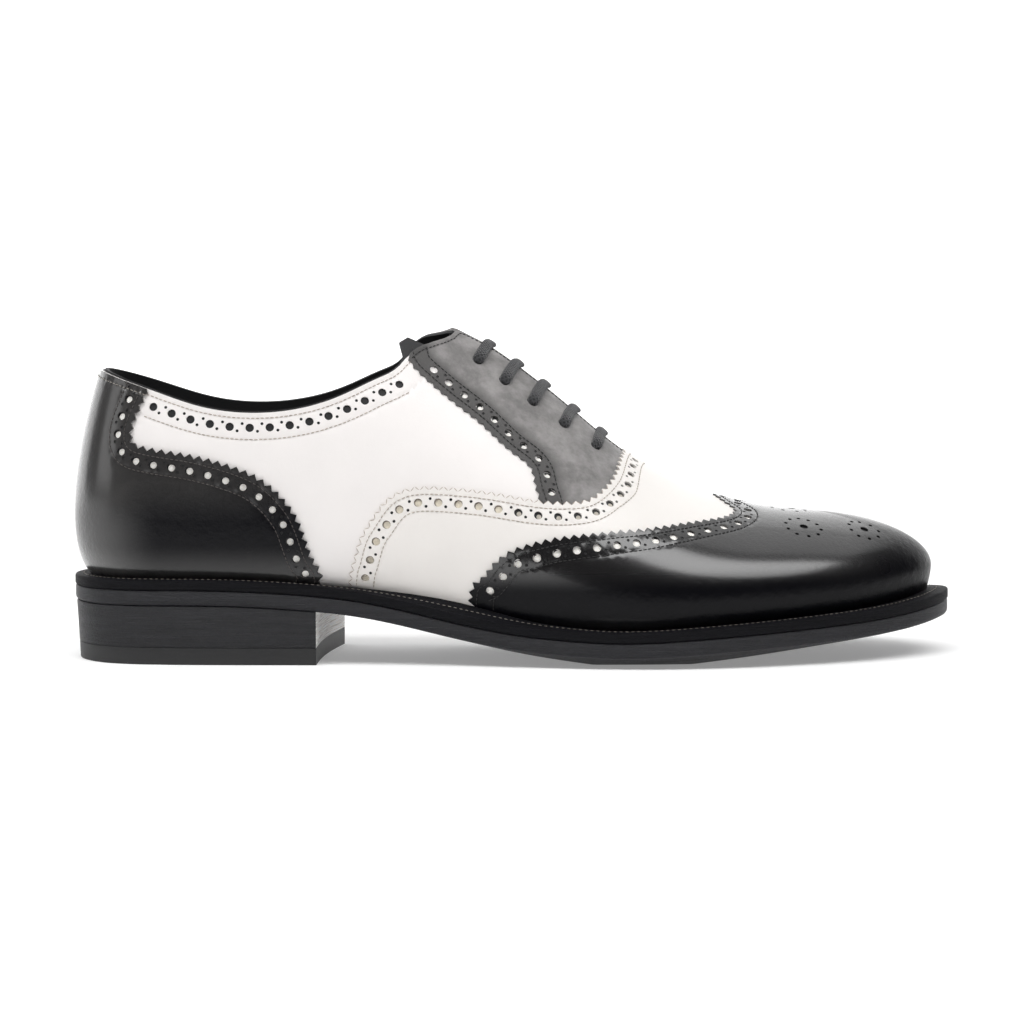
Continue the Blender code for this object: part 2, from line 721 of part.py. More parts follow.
def make_tongue(look):
    """A strip under the throat, hung from the vamp's inside and clear of the lace's runs."""
    inside = LAYER + FIT + WALL + FIT
    stations = np.linspace(TONGUE_TOP, TONGUE_FOOT, 12)
    girths = np.linspace(-TONGUE_HALF, TONGUE_HALF, 9)
    low = inside + 2 * LACE_RADIUS + FIT
    ease = np.clip((stations - 33.0) / (TONGUE_FOOT - 33.0), 0, 1)
    depths = low + (inside + 0.2 - low) * ease
    points = [
        crossing(station, girth, depth + more)
        for more in (0.0, TONGUE)
        for station, depth in zip(stations, depths)
        for girth in girths
    ]
    wide, count = len(girths), len(stations) * len(girths)
    faces = []
    for row in range(len(stations) - 1):
        for i in range(wide - 1):
            a = row * wide + i
            faces.append((a, a + 1, a + wide + 1, a + wide))
            faces.append((a + count, a + count + wide, a + count + wide + 1, a + count + 1))
        for a in (row * wide, row * wide + wide - 1):
            faces.append((a, a + wide, a + wide + count, a + count))
    for a in [*range(wide - 1), *range(count - wide, count - 1)]:
        faces.append((a, a + 1, a + 1 + count, a + count))
    return mesh_object("tongue", points, faces, look)


for old in list(bpy.data.objects):
    bpy.data.objects.remove(old, do_unlink=True)
PARTS = bpy.data.collections.new("spectator_shoe")
CUTTERS = bpy.data.collections.new("cutters")
bpy.context.scene.collection.children.link(PARTS)
bpy.context.scene.collection.children.link(CUTTERS)
CUTTERS.hide_render = True

white = material("white_calf", (0.86, 0.84, 0.82), 0.45)
white_vamp = material("white_vamp_calf", (0.84, 0.82, 0.80), 0.45)
gloss = material("gloss_black_calf", (0.02, 0.02, 0.022), 0.22)
gloss_heel = material("gloss_black_counter", (0.02, 0.02, 0.022), 0.22)
matte = material("matte_black_calf", (0.11, 0.10, 0.10), 0.6)
matte_inner = material("matte_black_calf_inner", (0.11, 0.10, 0.10), 0.6)
sole_black = material("black_sole_leather", (0.03, 0.03, 0.033), 0.4)
welt_black = material("black_welt", (0.02, 0.02, 0.02), 0.5)
heel_black = material("black_heel_lifts", (0.03, 0.03, 0.035), 0.4)
rubber = material("black_heel_rubber", (0.02, 0.02, 0.02), 0.6)
lining = material("black_lining", (0.04, 0.04, 0.04), 0.7)
sock = material("insole_leather", (0.08, 0.08, 0.08), 0.7)
cord = material("black_lace", (0.08, 0.08, 0.08), 0.8)

upper_depth = LAYER + FIT
upper = skin("upper", upper_depth, upper_depth + WALL, white)
wing_edge = drawn(WING)
vamp_edge = drawn(VAMP)
toe_cap = skin("toe_cap", 0.0, LAYER, gloss, first=BACK_RIBS + 4)
cut(toe_cap, prism("wing_side", in_front(wing_edge)), "INTERSECT")
vamp = skin("vamp", LAYER - VAMP_LAYER, LAYER, white_vamp, first=BACK_RIBS)
cut(vamp, prism("vamp_side", in_front(vamp_edge)), "INTERSECT")
cut(vamp, prism("wing_clearance", in_front(widened(wing_edge, FIT))))
counter = skin("heel_counter", 0.0, LAYER, gloss_heel, last=BACK_RIBS + 2)
cut(counter, prism("counter_side", behind(drawn(COUNTER))), "INTERSECT")
facing_outline = prism("facing_side", [*map(tuple, drawn(FACING)), (80.0, 46.0), (80.0, 150.0), (-37.2, 150.0)])
vamp_clearance = prism("vamp_clearance", in_front(widened(vamp_edge, FIT)))
facings = {}
for side, look in (("lateral", matte), ("medial", matte_inner)):
    facing = skin("facing_" + side, 0.1, LAYER, look, first=BACK_RIBS, last=BACK_RIBS + MIDDLE_RIBS + 4, sides=(side,))
    cut(facing, facing_outline, "INTERSECT")
    cut(facing, vamp_clearance)
    facings[side] = facing

for side in facings:
    punches = eyelet_punches(side)
    cut(facings[side], punches)
    cut(upper, punches)
make_tongue(lining)
tube("lace", lace_path(), LACE_RADIUS, cord)

make_welt(welt_black)
make_insole(sock)
make_outsole(sole_black)
heel_block(
    "heel_stack",
    (1.0, 2.2),
    (lambda x: 0 * x + TOP_PIECE + FIT, lambda x: outsole_bottom(x) - FIT),
    heel_black,
)
heel_block("heel_top_piece", (2.5, 2.2), (lambda x: 0 * x, lambda x: 0 * x + TOP_PIECE), rubber)
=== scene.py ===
"""The looks of a black and white full-brogue Oxford, the right shoe, on a pale floor."""

import math

import bmesh
import bpy
import numpy as np
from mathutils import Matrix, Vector, geometry, kdtree


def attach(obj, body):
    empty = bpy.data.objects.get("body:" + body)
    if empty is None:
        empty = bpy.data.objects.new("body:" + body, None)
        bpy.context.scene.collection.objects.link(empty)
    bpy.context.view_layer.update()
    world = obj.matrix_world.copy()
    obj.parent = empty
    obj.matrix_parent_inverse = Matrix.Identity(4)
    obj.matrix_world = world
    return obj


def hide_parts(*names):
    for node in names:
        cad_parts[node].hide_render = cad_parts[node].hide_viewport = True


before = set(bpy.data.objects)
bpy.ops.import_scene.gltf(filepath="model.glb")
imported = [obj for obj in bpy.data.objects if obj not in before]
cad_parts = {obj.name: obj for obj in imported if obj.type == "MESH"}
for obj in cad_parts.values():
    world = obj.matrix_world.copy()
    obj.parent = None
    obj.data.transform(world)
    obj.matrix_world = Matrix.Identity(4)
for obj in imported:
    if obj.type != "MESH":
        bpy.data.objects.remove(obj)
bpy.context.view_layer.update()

# Lengths on the shoe are in millimetres until a mesh is finished.
MM = 0.001
CENTRE = np.array([0.0, -0.149, 0.0])


def table(columns, *rows):
    """Named columns from short rows."""
    return dict(zip(columns.split(), np.array(rows, float).T))


# The last, in the shoe's own millimetres.
HEEL_BACK, TOE_TIP = (-154.0, -11.0), (154.0, 8.5)
EDGE = table(
    "station lateral medial",
    (-151, -23.0, 1.0),
    (-142, -33.0, 11.0),
    (-122, -38.6, 18.6),
    (-100, -39.8, 22.4),
    (-80, -40.0, 24.4),
    (-60, -40.4, 24.8),
    (-40, -41.4, 23.0),
    (-20, -43.4, 21.6),
    (0, -46.6, 24.6),
    (20, -50.0, 34.0),
    (40, -52.0, 45.0),
    (60, -51.4, 51.2),
    (80, -47.4, 51.4),
    (100, -40.6, 47.6),
    (120, -31.4, 41.8),
    (137, -19.6, 33.4),
    (149, -6.6, 23.0),
)
SHAPE = table(
    "station margin feather drop rise_lateral rise_medial swell_lateral swell_medial side top crown",
    (-154, 5.7, 29.6, 0.0, 21.5, 21.5, 5.7, 5.7, 0.40, 0.33, 0.0),
    (-130, 5.0, 29.6, 0.0, 21.0, 21.0, 5.0, 5.0, 0.40, 0.38, 0.0),
    (-100, 4.5, 29.5, 0.0, 20.0, 21.0, 4.4, 5.0, 0.40, 0.42, 0.0),
    (-75, 4.3, 28.4, 0.2, 20.0, 23.0, 4.2, 5.8, 0.40, 0.40, 0.0),
    (-60, 4.2, 27.3, 0.5, 20.0, 25.0, 4.0, 6.8, 0.40, 0.36, 0.2),
    (-42, 4.2, 25.5, 1.8, 20.0, 27.0, 4.0, 8.4, 0.41, 0.31, 0.6),
    (-21, 4.2, 22.3, 3.4, 20.0, 27.0, 4.0, 9.6, 0.42, 0.28, 1.2),
    (-9, 4.6, 19.5, 3.0, 20.0, 26.0, 4.0, 9.6, 0.43, 0.27, 1.8),
    (5, 5.4, 16.0, 1.5, 19.0, 23.5, 4.0, 8.0, 0.44, 0.28, 2.8),
    (19, 6.2, 13.9, 0.5, 15.5, 18.5, 4.0, 6.0, 0.45, 0.30, 4.2),
    (31, 6.6, 12.9, 0.1, 13.0, 14.5, 4.0, 5.0, 0.46, 0.32, 5.4),
    (45, 6.8, 12.9, 0.0, 11.0, 12.0, 3.8, 4.4, 0.47, 0.35, 6.4),
    (66, 7.0, 14.1, 0.0, 9.6, 10.4, 3.6, 4.0, 0.48, 0.40, 6.0),
    (87, 7.2, 15.4, 0.0, 9.0, 9.4, 3.2, 3.6, 0.50, 0.46, 4.6),
    (108, 7.4, 16.8, 0.0, 8.5, 8.8, 2.8, 3.0, 0.50, 0.50, 3.0),
    (124, 7.6, 18.0, 0.0, 8.2, 8.2, 2.4, 2.4, 0.50, 0.50, 2.0),
    (140, 7.8, 19.8, 0.0, 8.2, 8.2, 2.0, 2.0, 0.50, 0.50, 1.0),
    (154, 7.8, 22.3, 0.0, 8.0, 8.0, 1.8, 1.8, 0.50, 0.50, 0.4),
)
RIDGE = table(
    "station across height",
    (-118, -8.5, 146.0),
    (-100, -8.0, 146.0),
    (-80, -6.5, 143.0),
    (-60, -4.5, 136.0),
    (-40, -2.5, 127.0),
    (-20, -0.8, 115.6),
    (-8, 0.0, 109.3),
    (5, 0.6, 100.0),
    (15, 1.0, 92.1),
    (26, 1.5, 82.7),
    (36, 2.0, 74.5),
    (46, 2.5, 67.5),
    (57, 3.0, 61.3),
    (68, 3.5, 56.7),
    (80, 4.0, 53.2),
    (92, 4.6, 51.2),
    (106, 5.3, 49.8),
)
OPENING = table(
    "station height",
    (-150, 103.5),
    (-143, 101.3),
    (-125.7, 95.8),
    (-108.5, 90.2),
    (-92, 88.0),
    (-77.4, 88.9),
    (-60.3, 93.7),
    (-46.4, 100.1),
    (-39.7, 104.2),
    (-34.6, 110.5),
    (-26.3, 114.0),
    (-17.1, 118.0),
)
# The ribs fan out round the heel, stand square to the shoe in the middle and fan out round the toe.
BACK_RIBS, MIDDLE_RIBS, FRONT_RIBS = 9, 11, 13
TOE_RIB = BACK_RIBS + MIDDLE_RIBS + FRONT_RIBS
FINE, FINE_ROWS = 6, 96
BACK_TURN, FRONT_TURN = -66.0, 36.0
BACK_END, FRONT_END = -118.0, 106.0
# The share up a rib where it is widest, and how far out toward it the crease over the welt reaches.
WIDEST, CREASE = 0.25, 0.55
THROAT_HALF, THROAT_END = 0.8, 42.0
# A chart's length for one rib, and for the whole way up a rib.
RIB_STEP, GIRTH = 9.3, 100.0
SIDES = ("lateral", "medial")


def spline(places, values):
    """A natural cubic through the values, as a function of place."""
    x, y = np.asarray(places, float), np.asarray(values, float)
    step = np.diff(x)
    matrix, right = np.eye(len(x)), np.zeros_like(y)
    for i in range(1, len(x) - 1):
        matrix[i, i - 1 : i + 2] = step[i - 1], 2 * (step[i - 1] + step[i]), step[i]
        right[i] = 6 * ((y[i + 1] - y[i]) / step[i] - (y[i] - y[i - 1]) / step[i - 1])
    bend = np.linalg.solve(matrix, right)

    def at(place):
        place = np.clip(np.atleast_1d(np.asarray(place, float)), x[0], x[-1])
        i = np.clip(np.searchsorted(x, place) - 1, 0, len(x) - 2)
        h, a, b = step[i], (x[i + 1] - place) / step[i], (place - x[i]) / step[i]
        if y.ndim > 1:
            h, a, b = h[:, None], a[:, None], b[:, None]
        bow = (a**3 - a) * bend[i] + (b**3 - b) * bend[i + 1]
        return a * y[i] + b * y[i + 1] + bow * h * h / 6

    return at


def shape(name, station):
    """One of the last's named sizes at a station."""
    return spline(SHAPE["station"], SHAPE[name])(station)


def ridge(station):
    """Points of the last's top line at stations along the shoe."""
    station = np.asarray(station, float)
    across, height = (spline(RIDGE["station"], RIDGE[name])(station) for name in ("across", "height"))
    return np.stack([station, across, height], 1)


def unit(vectors):
    return vectors / np.maximum(np.linalg.norm(vectors, axis=-1, keepdims=True), 1e-9)


def beside(out):
    """A way along the leather, square to its outward ways."""
    return unit(np.cross(out, [0.0, 1.0, 0.02]))


def lengths(points):
    return np.concatenate([[0], np.cumsum(np.linalg.norm(np.diff(points, axis=0), axis=1))])


def edge_curve():
    """The sole's edge seen from above, and the runs at the heel's back, the toe and the back again."""
    lateral = np.column_stack([EDGE["station"], EDGE["lateral"]])
    medial = np.column_stack([EDGE["station"], EDGE["medial"]])[::-1]
    points = np.vstack([[HEEL_BACK], lateral, [TOE_TIP], medial])
    lap = 4
    loop = np.vstack([points[-lap:], points, points[: lap + 1]])
    run = lengths(loop)
    return spline(run, loop), run[lap], run[lap + len(lateral) + 1], run[lap + len(points)]


def rib_feet(side):
    """Where each fine rib starts on the sole's edge, fanned out round the heel and the toe."""
    curve, back, toe, back_again = edge_curve()
    dense = np.linspace(back if side == "lateral" else back_again, toe, 2001)
    x = curve(dense)[:, 0]
    far_back = dense[len(x) - 1 - np.argmax((x < BACK_TURN)[::-1])]
    far_front = dense[np.argmax(x > FRONT_TURN)]
    middle = np.linspace(BACK_TURN, FRONT_TURN, MIDDLE_RIBS * FINE + 1)
    back_fan = np.linspace(dense[0], far_back, BACK_RIBS * FINE + 1)[:-1]
    front_fan = np.linspace(far_front, dense[-1], FRONT_RIBS * FINE + 1)[1:]
    return curve(np.concatenate([back_fan, np.interp(middle, x, dense), front_fan]))


def rib_tops():
    """The ridge's station where each fine rib ends."""
    back = 1 - np.linspace(0, 1, BACK_RIBS * FINE + 1)[:-1]
    front = np.linspace(0, 1, FRONT_RIBS * FINE + 1)[1:]
    eased_back = back + np.sin(np.pi * back) / np.pi
    eased_front = front + np.sin(np.pi * front) / np.pi
    return np.concatenate(
        [
            BACK_TURN + (BACK_END - BACK_TURN) * eased_back,
            np.linspace(BACK_TURN, FRONT_TURN, MIDDLE_RIBS * FINE + 1),
            FRONT_TURN + (FRONT_END - FRONT_TURN) * eased_front,
        ]
    )


def moved_out(points, amount, side):
    """A line on the ground moved outward from the shoe, by an amount at each point."""
    along = unit(np.gradient(points, axis=0))
    outward = np.stack([along[:, 1], -along[:, 0]], 1) * (1 if side == "lateral" else -1)
    return points + outward * np.asarray(amount)[:, None]


def bow(a, b, c, d, share):
    """Cubic curves from a to d with handles b and c, at shares of their way."""
    t = share[None, :, None]
    a, b, c, d = (p[:, None, :] for p in (a, b, c, d))
    return (1 - t) ** 3 * a + 3 * t * (1 - t) ** 2 * b + 3 * t * t * (1 - t) * c + t**3 * d


def last_side(side):
    """One side's outer face: a grid of points by fine rib and by share of the way up."""
    feet = rib_feet(side)
    x = feet[:, 0]
    margin, swell, rise = shape("margin", x), shape("swell_" + side, x), shape("rise_" + side, x)
    low = np.column_stack([moved_out(feet, -margin, side), shape("feather", x)])
    wide = np.column_stack([moved_out(feet, swell - margin, side), low[:, 2] + rise])
    tops = rib_tops()
    high = ridge(tops)
    slope = ridge(tops + 0.5)[:, 2] - ridge(tops - 0.5)[:, 2]
    fullness, roundness = shape("side", x), shape("top", x)
    climb = high[:, 2] - wide[:, 2]
    up = np.array([0.0, 0.0, 1.0])
    reach = (wide - high)[:, :2] * roundness[:, None]
    shoulder = np.column_stack([high[:, :2] + reach, high[:, 2] + slope * reach[:, 0]])
    spread = np.linalg.norm((wide - low)[:, :2], axis=1)
    half = np.linalg.norm((wide - high)[:, :2], axis=1)
    tuck = fullness * climb * np.sqrt((1 - CREASE) * spread / ((1 - roundness) * half))
    tuck = np.minimum(tuck, 0.7 * rise)
    start = low + np.column_stack([(wide - low)[:, :2] * CREASE, 0.1 * rise])
    share = np.linspace(0, 1, FINE_ROWS + 1)
    under = bow(low, start, wide - up * tuck[:, None], wide, np.clip(share / WIDEST, 0, 1))
    over_share = np.clip((share - WIDEST) / (1 - WIDEST), 0, 1)
    over = bow(wide, wide + up * (fullness * climb)[:, None], shoulder, high, over_share)
    return np.where((share <= WIDEST)[None, :, None], under, over)


def outward_normals(points, side):
    face = unit(np.cross(np.gradient(points, axis=0), np.gradient(points, axis=1)))
    return face if side == "lateral" else -face


def make_last():
    """Both sides and their outward ways, joined at the heel, the toe and the ridge."""
    points = [last_side(side) for side in SIDES]
    for rib in (0, -1):
        points[0][rib] = points[1][rib] = (points[0][rib] + points[1][rib]) / 2
    normals = [outward_normals(p, side) for p, side in zip(points, SIDES)]
    for part in (np.s_[0], np.s_[-1], np.s_[:, -1]):
        shared = unit(normals[0][part] + normals[1][part])
        normals[0][part] = normals[1][part] = shared
    return np.array(points), np.array(normals)


POINTS, NORMALS = make_last()
ALONG_RIBS = np.gradient(POINTS, axis=1) * FINE
UP_RIBS = np.gradient(POINTS, axis=2) * FINE_ROWS
TOPS = rib_tops()
FINE_SHARES = np.linspace(0, 1, FINE_ROWS + 1)


def sample(grid, side, rib, share):
    """Values of a grid over the last at a side, a rib and a share of the way up it."""
    r = np.clip(rib * FINE, 0, grid.shape[1] - 1.001)
    s = np.clip(share * FINE_ROWS, 0, FINE_ROWS - 0.001)
    i, j = r.astype(int), s.astype(int)
    a, b = (r - i)[:, None], (s - j)[:, None]
    low = grid[side, i, j] * (1 - a) + grid[side, i + 1, j] * a
    high = grid[side, i, j + 1] * (1 - a) + grid[side, i + 1, j + 1] * a
    return low * (1 - b) + high * b


def opening_shares(side):
    """For each fine rib, how far up it the leather reaches."""
    shares = np.ones(len(TOPS))
    for rib, top in enumerate(TOPS):
        line = POINTS[side, rib]
        if top > THROAT_END:
            continue
        beyond = line[:, 2] - spline(OPENING["station"], OPENING["height"])(line[:, 0])
        if top > BACK_TURN:
            in_throat = THROAT_HALF - np.abs(line[:, 1] - ridge(TOPS[rib : rib + 1])[0, 1])
            beyond = np.maximum(beyond, in_throat)
        beyond = np.where(FINE_SHARES > WIDEST, beyond, -1)
        if (beyond > 0).any():
            k = int(np.argmax(beyond > 0))
            back = beyond[k] / (beyond[k] - beyond[k - 1])
            shares[rib] = FINE_SHARES[k] - back * (FINE_SHARES[k] - FINE_SHARES[k - 1])
    return shares


OPEN_SHARES = [opening_shares(side) for side in (0, 1)]


def opening_share(side, rib):
    return np.interp(np.asarray(rib, float) * FINE, np.arange(len(TOPS)), OPEN_SHARES[side])


def opening_above(side, rib):
    """The opening's share over each of many places, whichever side each is on."""
    return np.where(side == 1, opening_share(1, rib), opening_share(0, rib))


class Chart:
    """A flat drawing of part of the last, on which leather is cut before it is lasted.

    The front chart unrolls from the ridge and the back one from the heel's seam. Across is below zero on the
    lateral side."""

    def __init__(self, front):
        self.front = front

    def place(self, side, rib, share):
        sign = 1 if side else -1
        rib, share = np.broadcast_arrays(np.asarray(rib, float), np.asarray(share, float))
        if self.front:
            return np.stack([rib * RIB_STEP, sign * (1 - share) * GIRTH], -1)
        return np.stack([sign * rib * RIB_STEP, share * GIRTH], -1)

    def read(self, flat):
        if self.front:
            return (flat[:, 1] > 0).astype(int), flat[:, 0] / RIB_STEP, 1 - np.abs(flat[:, 1]) / GIRTH
        return (flat[:, 0] > 0).astype(int), np.abs(flat[:, 0]) / RIB_STEP, flat[:, 1] / GIRTH

    def points(self, flat):
        return sample(POINTS, *self.read(flat))

    def normals(self, flat):
        return unit(sample(NORMALS, *self.read(flat)))

    def moved(self, flat, push):
        """The drawing's points after a push along the leather, in millimetres."""
        side, rib, share = self.read(flat)
        along, up = sample(ALONG_RIBS, side, rib, share), sample(UP_RIBS, side, rib, share)
        aa, ab, bb = (along * along).sum(1), (along * up).sum(1), (up * up).sum(1)
        pa, pb = (push * along).sum(1), (push * up).sum(1)
        det = np.maximum(aa * bb - ab * ab, 1e-9)
        d_rib, d_share = (pa * bb - pb * ab) / det, (pb * aa - pa * ab) / det
        sign = np.where(side == 1, 1.0, -1.0)
        if self.front:
            return flat + np.stack([d_rib * RIB_STEP, -sign * d_share * GIRTH], 1)
        return flat + np.stack([sign * d_rib * RIB_STEP, d_share * GIRTH], 1)

    def shifted(self, line, amount, side):
        """A line moved sideways over the leather. The same sign goes the same way on both sides."""
        spot, out = self.points(line), self.normals(line)
        across = unit(np.cross(out, np.gradient(spot, axis=0))) * (1 if side == 0 else -1)
        return self.moved(line, across * np.broadcast_to(np.asarray(amount, float), len(line))[:, None])

    def even(self, line, pitch, start=0.0, end=0.0):
        """Points along a line at one pitch on the leather, inside it by the start and end distances."""
        run = lengths(self.points(line))
        count = max(2, int(round((run[-1] - start - end) / pitch)) + 1)
        at = np.linspace(start, run[-1] - end, count)
        return np.stack([np.interp(at, run, line[:, i]) for i in (0, 1)], 1)

    def drawn(self, side, edge):
        """A panel's edge from its short table, as a dense smooth line."""
        corners = self.place(side, edge["rib"], edge["share"])
        run = lengths(self.points(corners))
        return self.even(spline(run, corners)(np.linspace(0, run[-1], 12 * len(run))), 0.6)

    def rounds(self, centres, radius, sides):
        """Round holes on the leather."""
        turn = np.arange(sides) * 2 * np.pi / sides
        out = self.normals(centres)
        first = beside(out)
        second = np.cross(out, first)
        rings = [self.moved(centres, radius * (math.cos(t) * first + math.sin(t) * second)) for t in turn]
        return list(np.stack(rings, 1))


FRONT, BACK = Chart(True), Chart(False)

# Panel edges, as ribs along the shoe and shares of the way up each rib.
WING = table(
    "rib share",
    (14.4, -0.02),
    (14.42, 0.029),
    (14.83, 0.142),
    (15.5, 0.233),
    (16.42, 0.3),
    (17.65, 0.367),
    (19.4, 0.453),
    (20.9, 0.535),
    (22.1, 0.618),
    (23.1, 0.69),
    (23.85, 0.76),
    (24.1, 0.825),
    (23.8, 0.893),
    (23.42, 1.0),
)
VAMP = table(
    "rib share",
    (9.97, -0.02),
    (10.0, 0.05),
    (10.17, 0.146),
    (10.42, 0.225),
    (10.83, 0.279),
    (11.35, 0.328),
    (12.0, 0.36),
    (13.15, 0.385),
    (14.9, 0.408),
    (17.1, 0.453),
    (18.15, 0.497),
    (18.9, 0.545),
    (19.4, 0.605),
    (19.8, 0.677),
    (20.05, 0.77),
    (20.35, 1.0),
)
FACING = table(
    "rib share",
    (12.1, 0.725),
    (12.25, 0.688),
    (12.75, 0.662),
    (13.75, 0.63),
    (14.9, 0.595),
    (16.15, 0.555),
    (16.75, 0.54),
    (16.9, 0.497),
    (17.1, 0.445),
    (17.1, 0.417),
)
COUNTER = table(
    "rib share",
    (3.5, 0.557),
    (3.4, 0.52),
    (3.1, 0.463),
    (3.0, 0.43),
    (3.1, 0.408),
    (3.4, 0.4),
    (4.75, 0.388),
    (6.25, 0.367),
    (7.15, 0.343),
    (7.92, 0.296),
    (8.33, 0.242),
    (8.75, 0.125),
    (8.92, 0.042),
    (8.92, -0.02),
)
EYELETS = table(
    "station girth lean",
    (-12.4, 14.3, 4.2),
    (-3.2, 17.3, 5.0),
    (6.6, 18.3, 4.6),
    (17.5, 18.2, 4.2),
    (28.8, 16.5, 2.5),
)

CORNER = table("rib drop", (12.0, 0.0), (12.7, 2.4), (13.6, 2.2), (14.3, 0.0))

# Each layer of leather: how deep its outer and inner faces lie inside the last's outer face.
DEPTHS = table("outer inner", (0.0, 0.95), (0.6, 1.5), (1.05, 2.25), (1.7, 2.3), (2.35, 3.5), (0.0, 1.0))
CAP, VAMP_LAYER, FACING_LAYER, QUARTER, LINING, COUNTER_LAYER = range(6)
HEEL_EASE, EASE_START, EASE_RIBS = 0.64, 8.0, 6.0

# Radii of the holes, and how far the holes and seams lie in from a panel's edge.
HOLE, PINHOLE, EYELET_HOLE, MEDALLION_PIN = 1.48, 0.56, 1.9, 0.72
HOLE_PITCH, HOLES_IN = 7.0, 4.9
OUTER_SEAM, INNER_SEAM, FACING_INNER_SEAM = 2.1, 8.1, 7.5
TOOTH_PITCH, TOOTH_OUT, TOOTH_IN = 3.3, 0.85, 0.7
STITCH_PITCH, STITCH_LENGTH, THREAD = 1.65, 1.45, 0.36
LATTICE = 2.3
LOW_SHARE = 0.012


def inside(points, loops):
    """Which flat points lie within closed loops, with a loop inside another being a hole."""
    found = np.zeros(len(points), bool)
    for loop in loops:
        nxt = np.roll(loop, -1, axis=0)
        for a, b in zip(loop, nxt):
            if a[1] == b[1]:
                continue
            crosses = (a[1] > points[:, 1]) != (b[1] > points[:, 1])
            at = a[0] + (points[:, 1] - a[1]) * (b[0] - a[0]) / (b[1] - a[1])
            found ^= crosses & (points[:, 0] < at)
    return found


def cut_flat(outline, holes, extra=(), lattice=LATTICE):
    """A flat panel as points and triangles: its outline, its holes and an even net of points between them."""
    loops = [outline, *holes]
    low, high = outline.min(0), outline.max(0)
    rows = np.arange(low[1] + lattice / 2, high[1], lattice * 0.87)
    net = []
    for k, y in enumerate(rows):
        x = np.arange(low[0] + (lattice / 2 if k % 2 else 0), high[0], lattice)
        net.append(np.column_stack([x, np.full(len(x), y)]))
    net = np.vstack(net)
    rim = np.vstack(loops)
    tree = kdtree.KDTree(len(rim))
    for i, p in enumerate(rim):
        tree.insert((p[0], p[1], 0.0), i)
    tree.balance()
    net = np.vstack([net, *extra]) if len(extra) else net
    net = net[inside(net, loops)]
    net = net[[tree.find((p[0], p[1], 0.0))[2] > 0.32 * lattice for p in net]]
    points, edges = [], []
    for loop in loops:
        first = len(points)
        points += [Vector(p) for p in loop]
        edges += [(first + i, first + (i + 1) % len(loop)) for i in range(len(loop))]
    points += [Vector(p) for p in net]
    verts, _, faces, *_ = geometry.delaunay_2d_cdt(points, edges, [], 0, 1e-6)
    verts = np.array([tuple(v) for v in verts])
    faces = np.array(faces)
    faces = faces[inside(verts[faces].mean(axis=1), loops)]
    a, b, c = (verts[faces[:, i]] for i in range(3))
    turned = (b[:, 0] - a[:, 0]) * (c[:, 1] - a[:, 1]) - (b[:, 1] - a[:, 1]) * (c[:, 0] - a[:, 0])
    faces = faces[np.abs(turned) > 1e-9]
    return verts, faces


def eased(layer, rib):
    """Quarter and lining lie closer to the surface round the heel, where no facing or vamp covers them."""
    if layer not in (QUARTER, LINING):
        return 0.0 * rib
    return -HEEL_EASE * (1 - np.clip((rib - EASE_START) / EASE_RIBS, 0, 1))


class Relief:
    """Soft ridges and troughs along lines on the leather: seams, creases and the rolls beside them."""

    def __init__(self, lines):
        spots, self.depth, self.width = [], [], []
        for points, depth, width in lines:
            spots.append(points)
            self.depth += list(np.broadcast_to(np.asarray(depth, float), len(points)))
            self.width += [width] * len(points)
        self.spots = np.vstack(spots) if spots else np.zeros((0, 3))
        self.tree = kdtree.KDTree(len(self.spots))
        for i, p in enumerate(self.spots):
            self.tree.insert(p, i)
        self.tree.balance()

    def at(self, points, normals):
        """The lift of each point, and its normal tilted to match."""
        lift, tilt = np.zeros(len(points)), np.zeros_like(points)
        if not len(self.spots):
            return lift, normals
        for k, p in enumerate(points):
            _, i, far = self.tree.find(p)
            width = self.width[i]
            if far > 3 * width:
                continue
            h = -self.depth[i] * math.exp(-((far / width) ** 2))
            lift[k] = h
            away = p - self.spots[i]
            away = away - normals[k] * np.dot(away, normals[k])
            tilt[k] = away * (-2 * h / width**2)
        return lift, unit(normals - tilt)


def placed(name, mesh, *looks):
    """A finished mesh as an object of the shoe."""
    made = bpy.data.objects.new(name, mesh)
    for look in looks:
        mesh.materials.append(look)
    bpy.context.scene.collection.objects.link(made)
    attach(made, "root")
    return made


